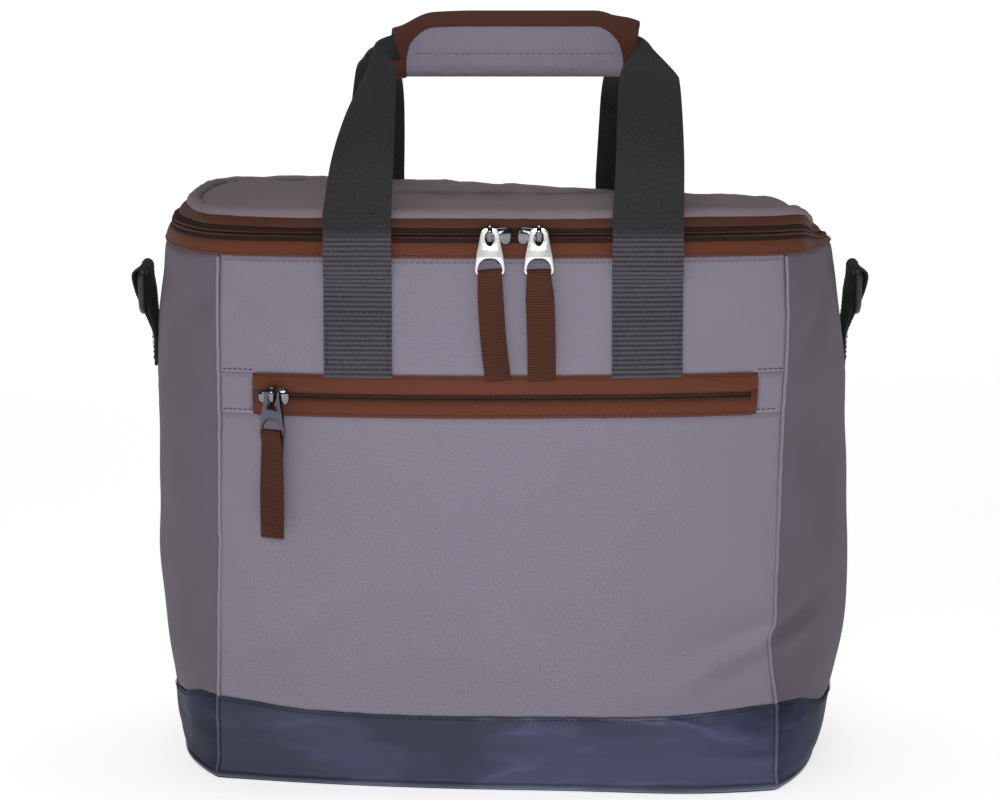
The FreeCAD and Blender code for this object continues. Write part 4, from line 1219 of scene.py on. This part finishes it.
def build_slider(name, depth, coil, x, bail, skew, bow, yaw=0.0, wide=6.9):
    """A slider, its puller and its tab. bail is how far to one side the puller hangs, skew and bow are
    the tab's lean and bend, yaw is the puller's turn about the upright."""
    body, pivot = local_frame(depth, x), coil + PIVOT_UP
    nose = 8.4 if bail <= 0 else -8.4
    plan = rounded([(-nose, coil - 3.4), (nose, coil - 5.0), (nose, coil + 5.0), (-nose, coil + 3.4)], 4.4, 8)
    plan = plan if nose > 0 else plan[::-1]
    cast = domed(name + "_slider_body", plan, -depth - 0.9, 1.5, 1.1, body, SHADED_SLIDER_METAL)
    put(cast, name + "_slider", (name + "_slider",))
    hoop = [(-1.6, -3.4), (-4.2, -3), (-6.6, -1.4), (-7.9, 1.4), (-7.6, 4), (-5.6, 5.7), (-3.6, 6), (-1.6, 5.6)]
    hoop = spline(np.array([[(0.0, y - depth, z + coil)] for y, z in hoop]), 22)[0][:, 0, 1:]
    place = body @ Matrix.Translation((bail, 0, 0))
    put(bent_rod(name + "_slider_bail", hoop, (1.35, 0.8), place, SHADED_SLIDER_METAL), name + "_slider")
    y0, foot = -depth - PIVOT_OUT, pivot - PULLER_L
    hang = local_frame(depth, x, pivot) @ about((bail, y0, 0), yaw, "Z")
    outline = mirrored([(4.3, pivot + 1.1), (5.2, pivot - 5), (7.2, foot + 9), (7.8, foot)], bail)
    eye = [(bail - 2.7, pivot - 0.6), (bail + 2.7, pivot - 0.6), (bail + 2.8, pivot - 5.6),
           (bail, pivot - 9.4), (bail - 2.8, pivot - 5.6)]
    slot = mirrored([(6.85, foot + BAR), (6.6, foot + 5.6), (3.4, foot + 9.2)], bail)
    # The pocket's puller plate takes the darker nickel: painted shade for its dark reflection.
    holes, material = [rounded(eye, 2.1), rounded(slot, 2.4)], SHADED_PLATE_METAL if name == "pocket" else CHROME
    plate = cut_plate(name + "_puller_plate", rounded(outline, 3.4), holes, 1.5, 0.35, y0, hang, material)
    put(plate, name + "_puller", (name + "_puller",))
    # the folded tab, as (y, z) from the middle of the bar: down the front, round the bar, down the back
    side = [(-0.75, -TAB_L), (-0.78, -TAB_L * 0.6), (-0.85, -14), (-1.3, -6), (-2.15, -1.6), (-2.2, 0.9),
            (-1.2, 2.1), (0.3, 2.35), (1.7, 1.5), (2.25, -0.3), (1.9, -3.2), (1.1, -8), (0.85, -14),
            (0.78, -TAB_L * 0.6), (0.75, -TAB_L)]
    z0, stations = foot + BAR / 2, []
    for y, z in side:
        drift = bow * math.sin(math.pi * min(1, -z / TAB_L)) if z < 0 else 0.0
        wave = 0.35 * math.sin(z * 0.22 + x)
        half = 6.5 + (wide - 6.5) * float(after(-z, 0, 14))
        twist = 0.9 * math.sin(min(0.0, z) * 0.05 + x) * float(after(-z, 0, 25))
        crown = 0.25 * np.sign(y)
        stations.append([(bail + drift + f * half, y0 + y + wave + f * twist + crown * (1 - f * f), z0 + z)
                         for f in (-1, 0, 1)])
    p3 = placed(np.array(stations), hang @ about((bail, y0, z0), skew, "Y"))
    tab = ribbon(name + "_pull_tab_web", p3, 200, 1.05, PULL_WEB, rib=0.18, rib_pitch=1.45, across=9, wide=13.0)
    put(tab, name + "_pull_tab", (name + "_pull_tab",))


# ---- side rings ----
def build_ring_tabs():
    """A webbing tab on each gusset: up from its stitched box, round the ring's bar and down again."""
    bar_x, bar_z, r = 202.0, 278.5, 3.5
    box_z, box_y = (229, 243), (-13, 13)
    box = [(z, z, *box_y) for z in box_z] + [(*box_z, y, y) for y in box_y]
    box += [(*box_z, *box_y), (*box_z, *box_y[::-1])]
    t = np.linspace(0, 1, 20)
    front = [(196.2, 225.5), (196.4, 236), (196.9, 244), (199.6, 255), (203.2, 267), (205.4, 275.4)]
    over = [(bar_x + r * math.cos(a), bar_z + r * math.sin(a)) for a in np.radians((10, 50, 90, 130, 170))]
    back = [(198.3, 273.5), (197.0, 265), (196.2, 254), (195.0, 244.5), (194.6, 234), (194.4, 226)]
    for hand, sign in (("left", -1), ("right", 1)):
        node = NODES[hand + "_ring"]
        node.data.materials.clear()
        node.data.materials.append(RING)
        stations = []
        for x, z in front + over + back:
            wide, lean = 15.0 - 0.5 * bell(z, 262, 9.0), 1.5 * float(after(z, 244, 22))
            stations.append([(sign * (x + lean * f * f - 0.8 * lean * f), wide * f, z + 0.9 * lean * f)
                             for f in (-1, 0, 1)])
        obj = ribbon(f"{hand}_ring_tab", stations, 190, 1.5, TAB_WEB, rib=0.22, rib_pitch=2.2,
                     outward=(sign, 0, 0), wide=30.0)
        put(obj, "bag", ("ring_tabs",) if hand == "left" else ())
        rows = []
        for z0, z1, y0, y1 in box:
            z = z0 + (z1 - z0) * t
            x = np.interp(z, [225.5, 236, 244], [196.2, 196.4, 196.9]) + 0.25
            rows.append((np.stack([sign * x, y0 + (y1 - y0) * t, z], 1), np.tile([float(sign), 0, 0], (20, 1))))
        stitches(f"{hand}_ring_tab_stitches", rows, slot="webbing", pitch=2.8)


# ---- stitching on the body ----
def build_stitching():
    left, right = u_front(POCKET_LEFT), u_front(POCKET_RIGHT)
    brown = {"material": THREAD_BROWN, "slot": "brown_tape", "pitch": 2.9}
    stitches("front_rim_stitches", [surf(np.arange(3, 310, 2.0), RIM_SEAM - 2.6, 0.05)])
    stitches("back_rim_stitches", [surf(np.arange(523, 829, 2.0), RIM_SEAM - 2.6, 0.05)])
    stitches("band_stitches", [surf(np.arange(0, TURN, 2.0), BAND_TOP - 0.5, 0.85)], "bag", THREAD_DARK,
             "band_coating", pitch=3.0)
    rows = [surf(np.linspace(*span, 14), z, off) for span in ((3, left + 0.5), (right - 0.5, 309))
            for z, off in ((POCKET_TOP + 1.9, 0.1), (POCKET_SEAM + 2.6, 0.2))]
    stitches("pocket_patch_stitches", rows, "bag", THREAD_DARK, pitch=2.9)
    line = u_front(np.linspace(POCKET_LEFT + 1, POCKET_RIGHT - 1, 140))
    rows = [surf(line, POCKET_TOP - 1.4, 1.0), surf(line, POCKET_SEAM + 1.2, 0.9)]
    stitches("pocket_tape_stitches", rows, **brown)
    end = side_u(ZIP_END)
    line = np.arange(312.0 - end + 2, end - 2, 2.0)
    stitches("lid_tape_stitches", [surf(line, LID_SEAM - 1.2, 1.05)], "lid", **brown)
    stitches("rim_tape_stitches", [surf(line, RIM_SEAM + 1.2, 0.7)], **brown)


build_studio()
build_floor()
build_panels()
build_piping()
build_zips()
build_hinge_cloth()
build_lid()
build_liner()
build_straps()
build_grips()
build_slider("left", RIM_DEPTH, RIM_COIL, -2.4, -3.0, -4.4, -0.9)
build_slider("right", RIM_DEPTH, RIM_COIL, 17.6, 3.0, -1.6, 0.4, wide=7.6)
build_slider("pocket", POCKET_DEPTH, POCKET_COIL, -122.0, 0.0, 0.0, -0.6, yaw=-24.0)
build_ring_tabs()
build_stitching()
